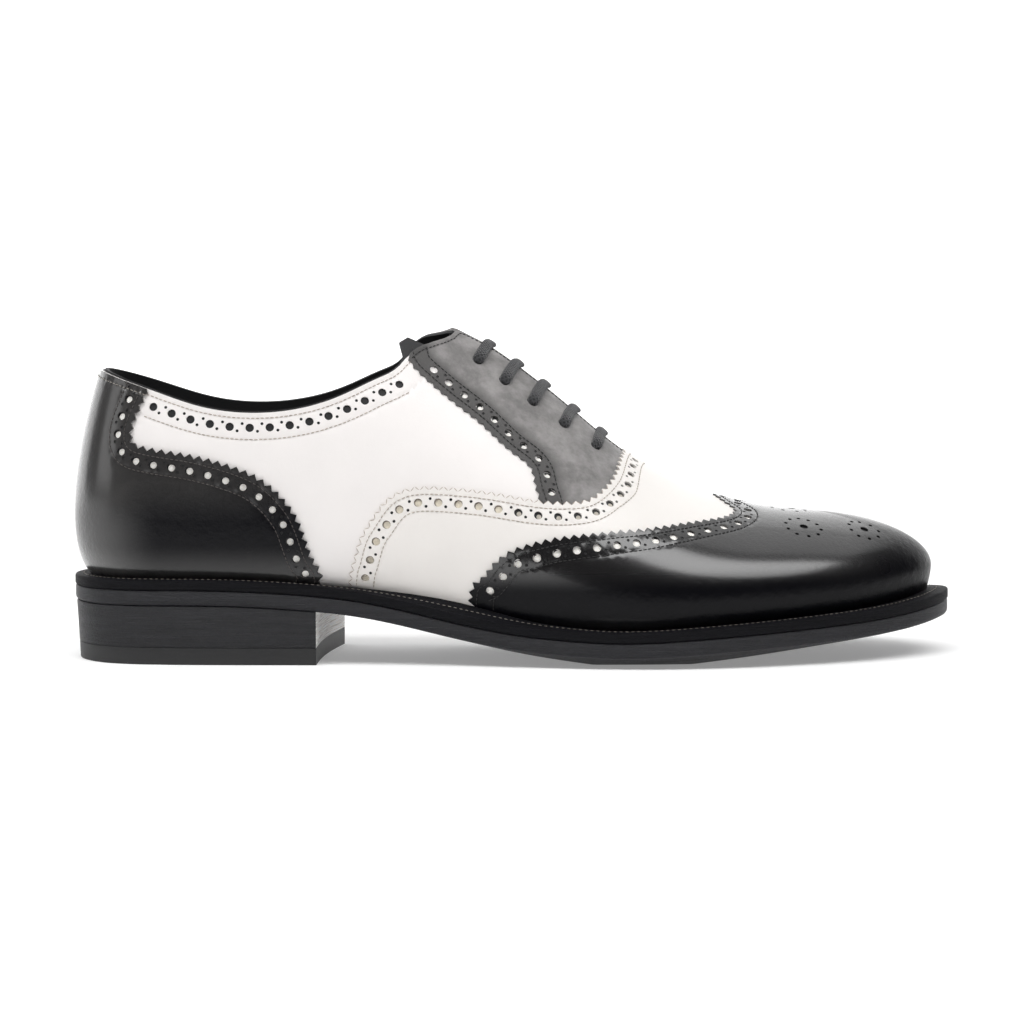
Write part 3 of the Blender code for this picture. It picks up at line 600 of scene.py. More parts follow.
def lasted(
    name,
    chart,
    outline,
    holes,
    layer,
    relief,
    looks,
    pick=None,
    joined=None,
    extra=(),
    lattice=LATTICE,
    rim=None,
):
    """A leather panel: cut flat, given its thickness and pulled over the last.

    Pick chooses each face's look, and joined tells the walls that vanish where the panel meets itself.
    Given a rim's line, the panel keeps each point's distance from it in millimetres, for its material."""
    holes = [hole for hole in holes if inside(hole, [outline]).all()]
    verts, faces = cut_flat(outline, holes, extra, lattice)
    flat = bpy.data.meshes.new(name)
    flat.from_pydata([(x, y, 0.0) for x, y in verts], [], faces.tolist())
    shell = bmesh.new()
    shell.from_mesh(flat)
    made = bmesh.ops.extrude_face_region(shell, geom=shell.faces[:], use_keep_orig=True)
    for vert in (g for g in made["geom"] if isinstance(g, bmesh.types.BMVert)):
        vert.co.z = 1.0
    if joined is not None:
        walls = [f for f in shell.faces if len(f.verts) == 4 and all(joined(v.co) for v in f.verts)]
        bmesh.ops.delete(shell, geom=walls, context="FACES_ONLY")
    flats = np.array([v.co[:] for v in shell.verts])
    if pick is not None:
        for face in shell.faces:
            middle = face.calc_center_median()
            where = chart.read(np.array([middle[:2]]))
            face.material_index = pick(where[1][0], where[2][0], where[0][0], middle[2])
    side, rib, share = chart.read(flats[:, :2])
    spot, out = sample(POINTS, side, rib, share), unit(sample(NORMALS, side, rib, share))
    lift, tilted = relief.at(spot, out)
    deep = flats[:, 2] > 0.5
    depth = np.where(deep, DEPTHS["inner"][layer], DEPTHS["outer"][layer]) + eased(layer, rib)
    spot = spot + out * (lift - depth)[:, None]
    low = share < LOW_SHARE
    spot[low, 2] = shape("feather", spot[low, 0]) - 0.05
    lay = shell.verts.layers.float_vector.new("lay")
    deep_mark = shell.verts.layers.float.new("deep")
    for vert, place, way, is_deep in zip(shell.verts, (spot - CENTRE) * MM, tilted, deep):
        vert.co = place
        vert[lay] = way
        vert[deep_mark] = float(is_deep)
    if rim is not None:
        far_mark = shell.verts.layers.float.new("from_rim")
        for vert, place in zip(shell.verts, spot):
            vert[far_mark] = np.sqrt(((rim - place) ** 2).sum(1).min())
    bmesh.ops.remove_doubles(shell, verts=shell.verts, dist=1e-5)
    bmesh.ops.recalc_face_normals(shell, faces=shell.faces)
    shell.to_mesh(flat)
    shell.free()
    return finished(name, flat, looks)


def finished(name, mesh, looks):
    """An object whose outer and inner faces are shaded as one smooth sheet and whose cut edges stay crisp."""
    way = np.empty(len(mesh.vertices) * 3, np.float32)
    mesh.attributes["lay"].data.foreach_get("vector", way)
    deep = np.empty(len(mesh.vertices), np.float32)
    mesh.attributes["deep"].data.foreach_get("value", deep)
    way = way.reshape(-1, 3)
    mesh.polygons.foreach_set("use_smooth", [True] * len(mesh.polygons))
    corners = np.empty(len(mesh.loops), np.int32)
    mesh.loops.foreach_get("vertex_index", corners)
    normals = way[corners].copy()
    for polygon in mesh.polygons:
        loops = list(polygon.loop_indices)
        sheet = deep[corners[loops]]
        if sheet.min() != sheet.max():
            normals[loops] = polygon.normal
        elif sheet[0] > 0.5:
            normals[loops] *= -1
    mesh.normals_split_custom_set(normals.tolist())
    mesh.attributes.remove(mesh.attributes["deep"])
    mesh.attributes.remove(mesh.attributes["lay"])
    return placed(name, mesh, *looks)


class Band:
    """A punched band inside a panel's edge: teeth, two seams, and large holes with pinholes between them.

    Inward is 1 or -1: the way from the edge into its panel. First and last are how far the row of holes stays
    from the line's two ends."""

    def __init__(self, chart, side, edge, inward, first, last, tooth=(TOOTH_OUT, TOOTH_IN), pitch=HOLE_PITCH):
        self.chart, self.side, self.inward = chart, side, inward
        self.line = edge if isinstance(edge, np.ndarray) else chart.drawn(side, edge)
        steps = chart.even(self.line, TOOTH_PITCH / 2)
        push = np.where(np.arange(len(steps)) % 2 == 0, tooth[1], -tooth[0])
        self.teeth = chart.shifted(steps, push * inward, side)
        self.holes = chart.even(self.inside_line(HOLES_IN), pitch, first, last)
        between = (self.holes[1:] + self.holes[:-1]) / 2
        self.pins = np.vstack([self.set_off(between, 1.3, 0.8), self.set_off(between, -1.3, -0.8)])

    def inside_line(self, amount):
        return self.chart.shifted(self.line, amount * self.inward, self.side)

    def seams(self, *insets):
        return [self.inside_line(inset) for inset in insets]

    def set_off(self, spots, across, along):
        """Spots moved across the band and along it."""
        way = unit(np.gradient(self.chart.points(spots), axis=0))
        square = unit(np.cross(self.chart.normals(spots), way)) * (1 if self.side == 0 else -1)
        return self.chart.moved(spots, square * across + way * along)

    def cuts(self):
        return self.chart.rounds(self.holes, HOLE, 14) + self.chart.rounds(self.pins, PINHOLE, 7)


def between_shares(chart, line, low, high=1.0):
    """The points of a line above the sole's edge and below the ridge."""
    share = chart.read(line)[2]
    return line[(share > low) & (share < high)]


def feather(chart, side, first, last):
    """The line where a panel goes under at the sole, from one rib to another."""
    return chart.place(side, np.linspace(first, last, max(2, int(abs(last - first) * 4) + 1)), 0.0)


def toe_closure(chart):
    """Up the toe's middle rib as the medial side sees it, and down it again as the lateral side does."""
    shares = np.linspace(0, 1, 34)
    return np.vstack([chart.place(1, TOE_RIB, shares), chart.place(0, TOE_RIB, shares[::-1])[1:]])


def at_toe(place):
    return abs(place.x - TOE_RIB * RIB_STEP) < 1e-4


def opening_line(chart, side, first, last, drop):
    """Along the collar and throat, a drop below the edge. The near facing's corner is lower."""
    ribs = np.linspace(first, last, max(2, int(abs(last - first) * 5) + 1))
    line = chart.place(side, ribs, opening_share(side, ribs))
    if side == 0:
        drop = drop + np.interp(ribs, CORNER["rib"], CORNER["drop"])
    return chart.shifted(line, -drop if last > first else drop, side)


def by_hand(chart, side, *corners):
    """An even line through corners given as a rib and a share."""
    ribs, shares = np.array(corners, float).T
    return chart.even(chart.place(side, ribs, shares), 2.2)


def from_ridge(chart, side, station, girth):
    """The place below a ridge station at a girth down the last."""
    rib = np.interp(station, TOPS, np.arange(len(TOPS))) / FINE
    shares = np.linspace(1, 0, 200)
    line = sample(POINTS, np.full(200, side), np.full(200, rib), shares)
    return chart.place(side, rib, np.interp(girth, lengths(line), shares))


# Seams and punched bands.
THREADS = {"black_thread": [], "grey_thread": [], "heel_thread": [], "welt_thread": [], "cut_edge": []}


def sew(thread, chart, line, layer):
    """A row of stitches along a line on a layer, between the sole's edge and the opening."""
    side, rib, share = chart.read(line)
    row = line[(share > 0.02) & (share < np.minimum(opening_above(side, rib) - 0.008, 0.999))]
    row = chart.even(row, STITCH_PITCH)
    points, out = chart.points(row), chart.normals(row)
    depth = DEPTHS["outer"][layer] + eased(layer, chart.read(row)[1]) - 0.02
    THREADS[thread].append((points - out * depth[:, None], unit(np.gradient(points, axis=0)), out))


def seam_net(chart, lines):
    """Extra points along a seam and on both sides of it, so that its groove keeps its shape."""
    net = []
    for line in lines:
        fine = chart.even(line, 1.3)
        net += [fine] + [chart.shifted(fine, d, 0) for d in (-0.75, 0.75)]
    return net


def groove(chart, lines, depth=0.16, width=0.6):
    """The soft grooves that rows of stitches pull into a panel."""
    return [(chart.points(chart.even(line, 0.8)), depth, width) for line in lines]


wing = [Band(FRONT, side, WING, -1, 9.5, 2.0) for side in (0, 1)]
vamp_band = [Band(FRONT, side, VAMP, -1, 4.0, 5.0) for side in (0, 1)]
facing_band = [Band(FRONT, side, FACING, 1, 9.9, 9.5, tooth=(0.5, 0.45)) for side in (0, 1)]
counter_band = [Band(BACK, side, COUNTER, -1, 5.5, 4.0, pitch=6.55) for side in (0, 1)]
collar_line = [opening_line(FRONT, side, 3.1, 12.3, 1.0) for side in (0, 1)]
collar_band = [Band(FRONT, side, collar_line[side], -1, 7.4, 14.4, tooth=(0.0, 0.0)) for side in (0, 1)]

# Hidden fronts of the quarters and the vamp, under the panels that cover them.
UNDER_VAMP = (
    (10.9, 0.0), (11.17, 0.121), (11.58, 0.179), (12.17, 0.225), (13.17, 0.254), (15.0, 0.283),
    (17.35, 0.328), (18.85, 0.393), (19.6, 0.46), (19.15, 0.532), (18.15, 0.603), (17.15, 0.642),
    (16.0, 0.67), (14.9, 0.695), (13.9, 0.728), (13.5, 0.78),
)
UNDER_CAP = (
    (15.6, 0.0), (15.83, 0.079), (16.42, 0.15), (17.58, 0.237), (19.4, 0.335), (21.0, 0.413), (22.6, 0.5),
    (24.0, 0.59), (25.25, 0.682), (26.0, 0.77), (26.25, 0.893), (26.17, 0.983),
)

# The medallion's rosettes: ridge station, girth, pinholes round the middle hole and their distance from it.
MEDALLION = ((95.0, 21.6, 10, 6.3), (104.8, 22.4, 9, 5.7), (97.9, 0.0, 10, 6.0))
MEDALLION_HOLE = 1.5


def dimples(bands, depth):
    """The soft hollows that punching left in the layer below each large hole."""
    return [(band.chart.points(band.holes), depth, 2.8) for band in bands]


def crease_lines():
    """Soft folds over the joint of the toes and at the waist, as lines with a depth and a width."""
    folds = []
    for side, corners, depth, width in (
        (0, ((14.2, 0.30), (14.9, 0.22), (15.3, 0.12)), 0.10, 4.5),
        (0, ((20.6, 0.96), (20.4, 0.85), (20.0, 0.72)), 0.12, 4.0),
        (1, ((15.0, 0.40), (16.0, 0.28), (16.6, 0.12)), 0.10, 4.5),
    ):
        line = by_hand(FRONT, side, *corners)
        fade = depth * np.sin(np.linspace(0, np.pi, len(line)))
        folds.append((FRONT.points(line), fade, width))
    return folds


# Shading.
class Value:
    """A socket that can be used in sums."""

    def __init__(self, tree, socket):
        self.tree, self.socket = tree, socket

    def node(self, kind, values=(), output=0, **settings):
        made = self.tree.nodes.new(kind)
        for name, setting in settings.items():
            setattr(made, name, setting)
        items = values.items() if isinstance(values, dict) else enumerate(values)
        for key, value in items:
            if isinstance(value, Value):
                self.tree.links.new(value.socket, made.inputs[key])
            elif value is not None:
                made.inputs[key].default_value = value
        return Value(self.tree, made.outputs[output])

    def maths(self, operation, *values):
        return self.node("ShaderNodeMath", (self, *values), operation=operation)

    def __add__(self, other):
        return self.maths("ADD", other)

    def __sub__(self, other):
        return self.maths("SUBTRACT", other)

    def __rsub__(self, other):
        return self.node("ShaderNodeMath", (other, self), operation="SUBTRACT")

    def __mul__(self, other):
        return self.maths("MULTIPLY", other)

    __radd__ = __add__
    __rmul__ = __mul__

    def smooth(self, low, high):
        return self.node("ShaderNodeMapRange", (self, low, high, 0.0, 1.0), interpolation_type="SMOOTHSTEP")

    def noise(self, scale, detail=2.0, roughness=0.5):
        values = {"Vector": self, "Scale": scale, "Detail": detail, "Roughness": roughness}
        return self.node("ShaderNodeTexNoise", values)

    def stretched(self, *size):
        return self.node("ShaderNodeVectorMath", (self, size), operation="MULTIPLY")

    def axis(self, index):
        return self.node("ShaderNodeSeparateXYZ", (self,), output=index)

    def mix(self, first, second):
        """Between two colours, by this value."""
        values = {0: self, 6: first, 7: second}
        return self.node("ShaderNodeMix", values, output=2, data_type="RGBA")


def colour(red, green, blue):
    """A light colour from its screen values of 0 to 255."""
    return tuple(((value / 255 + 0.055) / 1.055) ** 2.4 for value in (red, green, blue)) + (1.0,)


def times(tone, share):
    """A colour made lighter or darker."""
    return tuple(share * value for value in tone[:3]) + (1.0,)


class Look:
    """A material on the object's own coordinates in metres."""

    def __init__(self, name, base, roughness, coat=0.0, coat_roughness=0.1, specular=0.5, sheen=0.0):
        self.material = bpy.data.materials.new(name)
        self.material.use_nodes = True
        tree = self.material.node_tree
        self.shader = tree.nodes["Principled BSDF"]
        coords = tree.nodes.new("ShaderNodeTexCoord")
        self.tree = tree
        self.place = Value(tree, coords.outputs["Object"])
        self.set("Base Color", base)
        self.set("Roughness", roughness)
        self.set("Coat Weight", coat)
        self.set("Coat Roughness", coat_roughness)
        self.set("Specular IOR Level", specular)
        self.set("Sheen Weight", sheen)

    def set(self, name, value):
        if isinstance(value, Value):
            self.tree.links.new(value.socket, self.shader.inputs[name])
        else:
            self.shader.inputs[name].default_value = value

    def bump(self, height, strength, distance):
        values = {"Height": height, "Strength": strength, "Distance": distance}
        self.set("Normal", height.node("ShaderNodeBump", values))


def white_calf(name, tone):
    """Smooth white calf: a fine dense grain, faint mottling and a soft low gloss."""
    look = Look(name, tone, 0.42, coat=0.06, coat_roughness=0.3, specular=0.4)
    grain = look.place.noise(1900.0, 3.0, 0.6)
    mottle = look.place.noise(55.0, 3.0)
    look.set("Base Color", mottle.smooth(0.3, 0.75).mix(tone, times(tone, 0.975)))
    look.set("Roughness", 0.38 + grain * 0.12)
    look.bump(grain + look.place.noise(420.0, 2.0) * 1.2, 0.16, 0.00022)
    return look.material


def gloss_calf(name, tone, sheen_tone, polish_and_sheen):
    """Black calf with a fine grain. The shine function gives the share of wax shine at a place, and the same
    share turns the base colour toward a lighter tone, as a painted sheen.
    """
    look = Look(name, tone, 0.3, coat_roughness=0.2, specular=0.15)
    look.shader.inputs["Coat IOR"].default_value = 1.7
    grain = look.place.noise(1500.0, 3.0, 0.6)
    pebble = look.place.noise(420.0, 3.0, 0.55)
    cloud = look.place.noise(42.0, 3.0)
    share = polish_and_sheen(look.place).maths("MINIMUM", 1.0)
    look.set("Coat Weight", share)
    # Painted sheen: where the shine share is high, the base colour turns toward the lighter sheen tone, on
    # the tops and along the welt where the highlights and the floor's reflection fall.
    look.set("Base Color", (share * (cloud + 0.5)).mix(tone, sheen_tone))
    look.set("Roughness", 0.24 + cloud * 0.12)
    look.bump(grain * 0.8 + pebble * 2.0, 0.36, 0.0003)
    return look.material


def cap_polish_and_painted_sheen(place):
    """More wax shine over the toes and in a band along the welt, and left dull at the tip. The same share
    paints a sheen into the base colour, where the lamp's highlight and the floor's reflection fall.
    """
    height = place.axis(2)
    bands = height.smooth(0.026, 0.035) + (1 - height.smooth(0.012, 0.018))
    return bands * (1 - place.axis(0).smooth(0.115, 0.145))


def counter_polish_and_painted_sheen(place):
    """More wax shine below the collar, round the back and in a band along the welt. The same share paints a
    sheen into the base colour, at the top and back where the lamps' light grazes and low down where the floor
    is reflected.
    """
    height = place.axis(2)
    low_band = (1 - height.smooth(0.029, 0.042)) * 0.6
    return height.smooth(0.049, 0.066) * 0.8 + low_band + (1 - place.axis(0).smooth(-0.148, -0.122)) * 0.8


def nappy_calf(name, tone):
    """Matte black leather with a short nap that catches the light as soft grey clouds, darker by its rim."""
    look = Look(name, tone, 0.62, specular=0.4, sheen=0.25)
    rim = Value(look.tree, look.tree.nodes.new("ShaderNodeAttribute").outputs["Fac"])
    rim.socket.node.attribute_name = "from_rim"
    grain = look.place.noise(2400.0, 4.0, 0.7)
    cloud = look.place.noise(70.0, 6.0, 0.7)
    # Painted sheen: the lighter clouds in the base colour stand for the light that the nap catches.
    nap_sheen = cloud.smooth(0.34, 0.7).mix(times(tone, 0.82), times(tone, 1.75))
    look.set("Base Color", rim.smooth(6.0, 13.0).mix(times(tone, 0.42), nap_sheen))
    look.set("Roughness", 0.55 + grain * 0.2)
    look.bump(grain + look.place.noise(700.0, 3.0), 0.3, 0.00025)
    return look.material


def plain_look(name, tone, roughness, grain_size, strength):
    """A plain dyed surface with a grain of its own."""
    look = Look(name, tone, roughness)
    grain = look.place.noise(grain_size, 3.0, 0.6)
    look.set("Base Color", grain.smooth(0.3, 0.8).mix(tone, times(tone, 1.35)))
    look.set("Roughness", roughness - 0.08 + grain * 0.16)
    look.bump(grain, strength, 0.0002)
    return look.material


def burnished(name, tone, roughness, specular=0.4):
    """Black sole edges: dyed, waxed and burnished along their length, with the lines of the layers in them.
    """
    look = Look(name, tone, roughness, specular=specular)
    streaks = look.place.stretched(60.0, 60.0, 2600.0).noise(1.0, 4.0, 0.65)
    scratches = look.place.stretched(16.0, 16.0, 420.0).noise(1.0, 3.0, 0.6)
    speck = look.place.noise(1500.0, 3.0, 0.7)
    look.set("Base Color", streaks.smooth(0.35, 0.8).mix(tone, times(tone, 2.2)))
    look.set("Roughness", roughness - 0.06 + speck * 0.18 + scratches * 0.1)
    look.bump(streaks * 1.3 + scratches + speck * 0.7, 0.9, 0.0005)
    return look.material


def woven_cotton(name, tone):
    """A tight herringbone braid of waxed black cotton, on the lace's own length and breadth."""
    look = Look(name, tone, 0.8, specular=0.25, sheen=0.3)
    flat = Value(look.tree, look.tree.nodes.new("ShaderNodeUVMap").outputs["UV"])
    along, over = flat.axis(0) * (2 * math.pi / 0.0013), flat.axis(1) * (2 * math.pi / 0.0012)
    braid = (along + over).maths("SINE").maths("MAXIMUM", (along - over).maths("SINE")) * 0.5 + 0.5
    fuzz = look.place.noise(5200.0, 3.0, 0.7)
    look.set("Base Color", (braid * 0.7 + fuzz * 0.4).mix(times(tone, 0.45), times(tone, 1.9)))
    look.set("Roughness", 0.7 + fuzz * 0.25)
    look.bump(braid + fuzz * 0.4, 0.9, 0.0004)
    return look.material


WHITE = white_calf("white_calf", colour(240, 236, 234))
# Painted shade: the vamp takes a darker copy of the white calf, set to match how light falls on the vamp.
SHADED_WHITE_VAMP = white_calf("white_vamp_calf", colour(235, 231, 227))
BACKING = plain_look("white_backing", colour(214, 208, 200), 0.8, 900.0, 0.3)
# Painted light and shade for the foot of the holes: a backing whiter than the white calf where the floor is
# lit, and grey and cream ones for white floors in shade.
PAINTED_LIGHT_BACKING = plain_look("painted_light_backing", colour(253, 250, 244), 0.8, 900.0, 0.2)
HOLE_SHADE = plain_look("hole_shade", colour(128, 120, 112), 0.8, 900.0, 0.3)
PAINTED_SHADE_GREY_BACKING = plain_look("painted_shade_grey_backing", colour(176, 170, 160), 0.8, 900.0, 0.3)
PAINTED_SHADE_CREAM_BACKING = plain_look("painted_shade_cream_backing", colour(206, 198, 182), 0.8, 900.0, 0.3)
# The second tone of each pair is a painted sheen, which the base colour turns to where the shine share is
# high.
CAP_BLACK, CAP_PAINTED_SHEEN = (0.002, 0.002, 0.0032, 1.0), (0.009, 0.0085, 0.009, 1.0)
COUNTER_BLACK, COUNTER_PAINTED_SHEEN = (0.004, 0.004, 0.0054, 1.0), (0.034, 0.0325, 0.032, 1.0)
BLACK_CAP = gloss_calf("gloss_black_cap", CAP_BLACK, CAP_PAINTED_SHEEN, cap_polish_and_painted_sheen)
BLACK_COUNTER = gloss_calf("gloss_black_counter", COUNTER_BLACK, COUNTER_PAINTED_SHEEN, counter_polish_and_painted_sheen)
# Black for the cut edges, which are dyed black, and for the dark discs at the foot of the holes, which are
# painted shade.
CUT_EDGE_AND_HOLE_SHADE = plain_look("cut_black_edge_and_hole_shade", (0.02, 0.02, 0.021, 1.0), 0.6, 1500.0, 0.2)
FACING_LEATHER = nappy_calf("nappy_black_calf", (0.17, 0.163, 0.16, 1.0))
LINING_LEATHER = plain_look("black_lining", (0.014, 0.014, 0.015, 1.0), 0.65, 1200.0, 0.3)
WELT_LEATHER = burnished("black_welt", (0.003, 0.003, 0.0042, 1.0), 0.5, 0.12)
SOLE_LEATHER = burnished("black_sole_edge", (0.007, 0.007, 0.0095, 1.0), 0.4)
HEEL_LEATHER = burnished("black_heel_lifts", (0.007, 0.007, 0.009, 1.0), 0.4)
# The breast's own grey, lightened well beyond it as painted light, since the breast stands in shade.
HEEL_BREAST_PAINTED_LIGHT = burnished("grey_heel_breast_painted_lighter", (0.72, 0.70, 0.68, 1.0), 0.45)
TOP_RUBBER = plain_look("black_heel_rubber", (0.012, 0.012, 0.013, 1.0), 0.55, 1600.0, 0.3)
SOCK = plain_look("black_sock_leather", (0.02, 0.02, 0.02, 1.0), 0.55, 1000.0, 0.3)
LACE_COTTON = woven_cotton("black_lace_cotton", (0.03, 0.03, 0.032, 1.0))
THREAD_LOOKS = {
    "black_thread": plain_look("black_thread", (0.012, 0.012, 0.012, 1.0), 0.6, 3000.0, 0.2),
    "grey_thread": plain_look("grey_thread", colour(168, 158, 148), 0.7, 3000.0, 0.2),
    "heel_thread": plain_look("heel_thread", colour(70, 66, 64), 0.7, 3000.0, 0.2),
    "cut_edge": plain_look("pinked_edge_fibres", colour(168, 156, 146), 0.9, 3000.0, 0.2),
    "welt_thread": plain_look("welt_thread", colour(132, 127, 120), 0.7, 3000.0, 0.2),
}


# The upper's panels.
wing_seams = [seam for band in wing for seam in band.seams(OUTER_SEAM, INNER_SEAM)]
vamp_seams = [seam for band in vamp_band for seam in band.seams(OUTER_SEAM, INNER_SEAM)]
counter_seams = [seam for band in counter_band for seam in band.seams(OUTER_SEAM, INNER_SEAM)]
for thread, chart, seams, layer in (
    ("black_thread", FRONT, wing_seams, CAP),
    ("grey_thread", FRONT, vamp_seams, VAMP_LAYER),
    ("heel_thread", BACK, counter_seams, COUNTER_LAYER),
):
    for seam in seams:
        sew(thread, chart, seam, layer)


def over_ridge(bands, first, last, ridge_rib, high):
    """From the sole's edge along one side's teeth, over the ridge and down the other side's."""
    return [
        feather(FRONT, 0, first, last)[:-1],
        between_shares(FRONT, bands[0].teeth, LOW_SHARE, high),
        FRONT.place(0, [ridge_rib], 1.0),
        between_shares(FRONT, bands[1].teeth, LOW_SHARE, high)[::-1],
        feather(FRONT, 1, last, first),
    ]


def cuts_above(chart, bands, low):
    """The bands' holes that lie clear of the sole's edge or of the panel in front."""
    return [hole for band in bands for hole in band.cuts() if chart.read(hole)[2].min() > low]


medallion, medallion_spots = [], []
for station, girth, count, away in MEDALLION:
    for side in (0, 1) if girth > 1.0 else (0,):
        spot = from_ridge(FRONT, side, station, girth)[None, :]
        ring = FRONT.rounds(spot, away, count)[0]
        medallion += FRONT.rounds(spot, MEDALLION_HOLE, 14) + FRONT.rounds(ring, MEDALLION_PIN, 8)
        medallion_spots += [spot, ring]
cap = lasted(
    "toe_cap_leather",
    FRONT,
    np.vstack([*over_ridge(wing, TOE_RIB, 14.44, 23.36, 0.99), toe_closure(FRONT)[1:-1]]),
    medallion + cuts_above(FRONT, wing, 0.03),
    CAP,
    Relief(groove(FRONT, wing_seams)),
    [BLACK_CAP],
    joined=at_toe,
    extra=seam_net(FRONT, wing_seams),
)
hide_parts("toe_cap")

under_cap = [by_hand(FRONT, 1, *UNDER_CAP)[1:], by_hand(FRONT, 0, *UNDER_CAP)[:0:-1]]
vamp = lasted(
    "vamp_leather",
    FRONT,
    np.vstack([*over_ridge(vamp_band, 15.6, 10.0, 20.3, 0.985), *under_cap]),
    cuts_above(FRONT, vamp_band, 0.013),
    VAMP_LAYER,
    Relief(groove(FRONT, vamp_seams) + crease_lines() + dimples(wing, 0.4)),
    [SHADED_WHITE_VAMP],
    extra=seam_net(FRONT, vamp_seams),
)
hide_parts("vamp")


def quarter_look(rib, share, side, deep):
    """White, with the cut edge along the collar painted black."""
    return 1 if 0.2 < deep < 0.8 and opening_share(int(side), rib) - share < 0.02 else 0


eyelet_holes = []
for side in (0, 1):
    spots = [from_ridge(FRONT, side, s, g) for s, g in zip(EYELETS["station"], EYELETS["girth"])]
    eyelet_holes.append(FRONT.rounds(np.array(spots), EYELET_HOLE, 14))


def facing(side, name):
    """The black panel that the lace pulls together, sewn over the quarter and under the vamp."""
    band = facing_band[side]
    throat = opening_line(FRONT, side, 12.15, 20.4, 0.4)
    edge_seam = FRONT.shifted(throat, -1.7, side)
    seams = [*band.seams(OUTER_SEAM, FACING_INNER_SEAM), edge_seam[FRONT.read(edge_seam)[1] < 20.2]]
    for seam in seams:
        sew("black_thread", FRONT, seam, FACING_LAYER)
    under = between_shares(FRONT, vamp_band[side].inside_line(2.6), 0.44, 0.975)
    under = under[FRONT.read(under)[1] > 17.3]
    _, rib, share = FRONT.read(band.teeth)
    teeth = band.teeth[(share > 0.435) & (share < opening_share(side, rib) - LOW_SHARE)]
    made = lasted(
        "facing_leather_" + name,
        FRONT,
        np.vstack([teeth, under, throat[::-1]]),
        cuts_above(FRONT, [band], 0.45) + eyelet_holes[side],
        FACING_LAYER,
        Relief(groove(FRONT, seams, 0.24, 0.55)),
        [FACING_LEATHER],
        extra=seam_net(FRONT, seams),
        rim=band.chart.points(band.line),
    )
    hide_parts("facing_" + name)


def quarter(side, name):
    """The white side of the shoe, punched along the collar."""
    band = collar_band[side]
    seams = band.seams(1.6, 9.0)
    for seam in seams:
        rib = FRONT.read(seam)[1]
        sew("grey_thread", FRONT, seam[(rib > 3.3) & (rib < 12.4)], QUARTER)
    hidden_corner = (13.5, float(opening_share(side, 13.5)) - (0.02 if side else 0.06))
    outline = [
        feather(FRONT, side, 0.0, 10.9)[:-1],
        by_hand(FRONT, side, *UNDER_VAMP, hidden_corner),
        opening_line(FRONT, side, 13.4, 0.0, 0.7),
        FRONT.place(side, 0.0, np.linspace(float(opening_share(side, 0.0)) - 0.03, 0.02, 24)),
    ]
    made = lasted(
        "quarter_leather_" + name,
        FRONT,
        np.vstack(outline),
        band.cuts(),
        QUARTER,
        Relief(groove(FRONT, seams) + crease_lines() + dimples(facing_band, 0.6)),
        [WHITE, CUT_EDGE_AND_HOLE_SHADE],
        pick=quarter_look,
        extra=seam_net(FRONT, seams),
    )
    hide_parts("upper")


for side, name in enumerate(SIDES):
    facing(side, name)
    quarter(side, name)

rear_tops = [between_shares(BACK, opening_line(BACK, side, 0.0, 3.4, 0.9), 0.0) for side in (0, 1)]
tab_seams = [BACK.shifted(line, -2.2, side) for side, line in enumerate(rear_tops)]
for line in tab_seams:
    sew("welt_thread", BACK, line, COUNTER_LAYER)
counter_teeth = []
for side, band in enumerate(counter_band):
    _, rib, share = BACK.read(band.teeth)
    counter_teeth.append(band.teeth[(share > LOW_SHARE) & (share < opening_share(side, rib) - LOW_SHARE)])
counter_outline = [
    counter_teeth[0][::-1],
    rear_tops[0][::-1],
    rear_tops[1][1:],
    counter_teeth[1],
    feather(BACK, 1, 8.9, 0.0)[:-1],
    feather(BACK, 0, 0.0, 8.9),
]
counter = lasted(
    "counter_leather",
    BACK,
    np.vstack(counter_outline),
    cuts_above(BACK, counter_band, 0.03),
    COUNTER_LAYER,
    Relief(groove(BACK, counter_seams + tab_seams)),
    [BLACK_COUNTER],
    extra=seam_net(BACK, counter_seams + tab_seams),
)
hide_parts("heel_counter")


def at_heel_or_toe(place):
    return abs(place.x) < 1e-4 or at_toe(place)


def lining_look(rib, share, side, deep):
    """White backing outside, black leather inside, round the collar and under the toe."""
    reach = 0.125 if rib < 11.5 else 0.33
    near_collar = rib < 20.4 and opening_share(int(side), rib) - share < reach
    return 1 if deep > 0.2 or near_collar or rib > 26.3 else 0


# The end of the collar's tape stands up as a small tab behind the near facing.
TAB_RIB, TAB_HALF, TAB_HEIGHT, THROAT_RIB = 12.34, 0.24, 5.4, 20.5
tab_ribs = np.linspace(0.0, THROAT_RIB, int(THROAT_RIB * 5) + 1)
collar_tab = TAB_HEIGHT * np.exp(-(((tab_ribs - TAB_RIB) / TAB_HALF) ** 4))
lining_outline = [
    feather(FRONT, 0, TOE_RIB, 0.0)[:-1],
    FRONT.place(0, 0.0, np.linspace(0, float(opening_share(0, 0.0)), 24)[:-1]),
    opening_line(FRONT, 0, 0.0, THROAT_RIB, -collar_tab),
    opening_line(FRONT, 1, THROAT_RIB, 0.0, 0.0),
    FRONT.place(1, 0.0, np.linspace(float(opening_share(1, 0.0)), 0, 24)[1:]),
    feather(FRONT, 1, 0.0, TOE_RIB)[1:-1],
    toe_closure(FRONT)[:-1],
]
lining = lasted(
    "lining_leather",
    FRONT,
    np.vstack(lining_outline),
    eyelet_holes[0] + eyelet_holes[1],
    LINING,
    Relief([]),
    [BACKING, LINING_LEATHER],
    pick=lining_look,
    joined=at_heel_or_toe,
    lattice=3.2,
)
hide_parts("upper")


# Stitches, and what shows at the foot of the holes.
FLOOR_RADIUS = 1.6


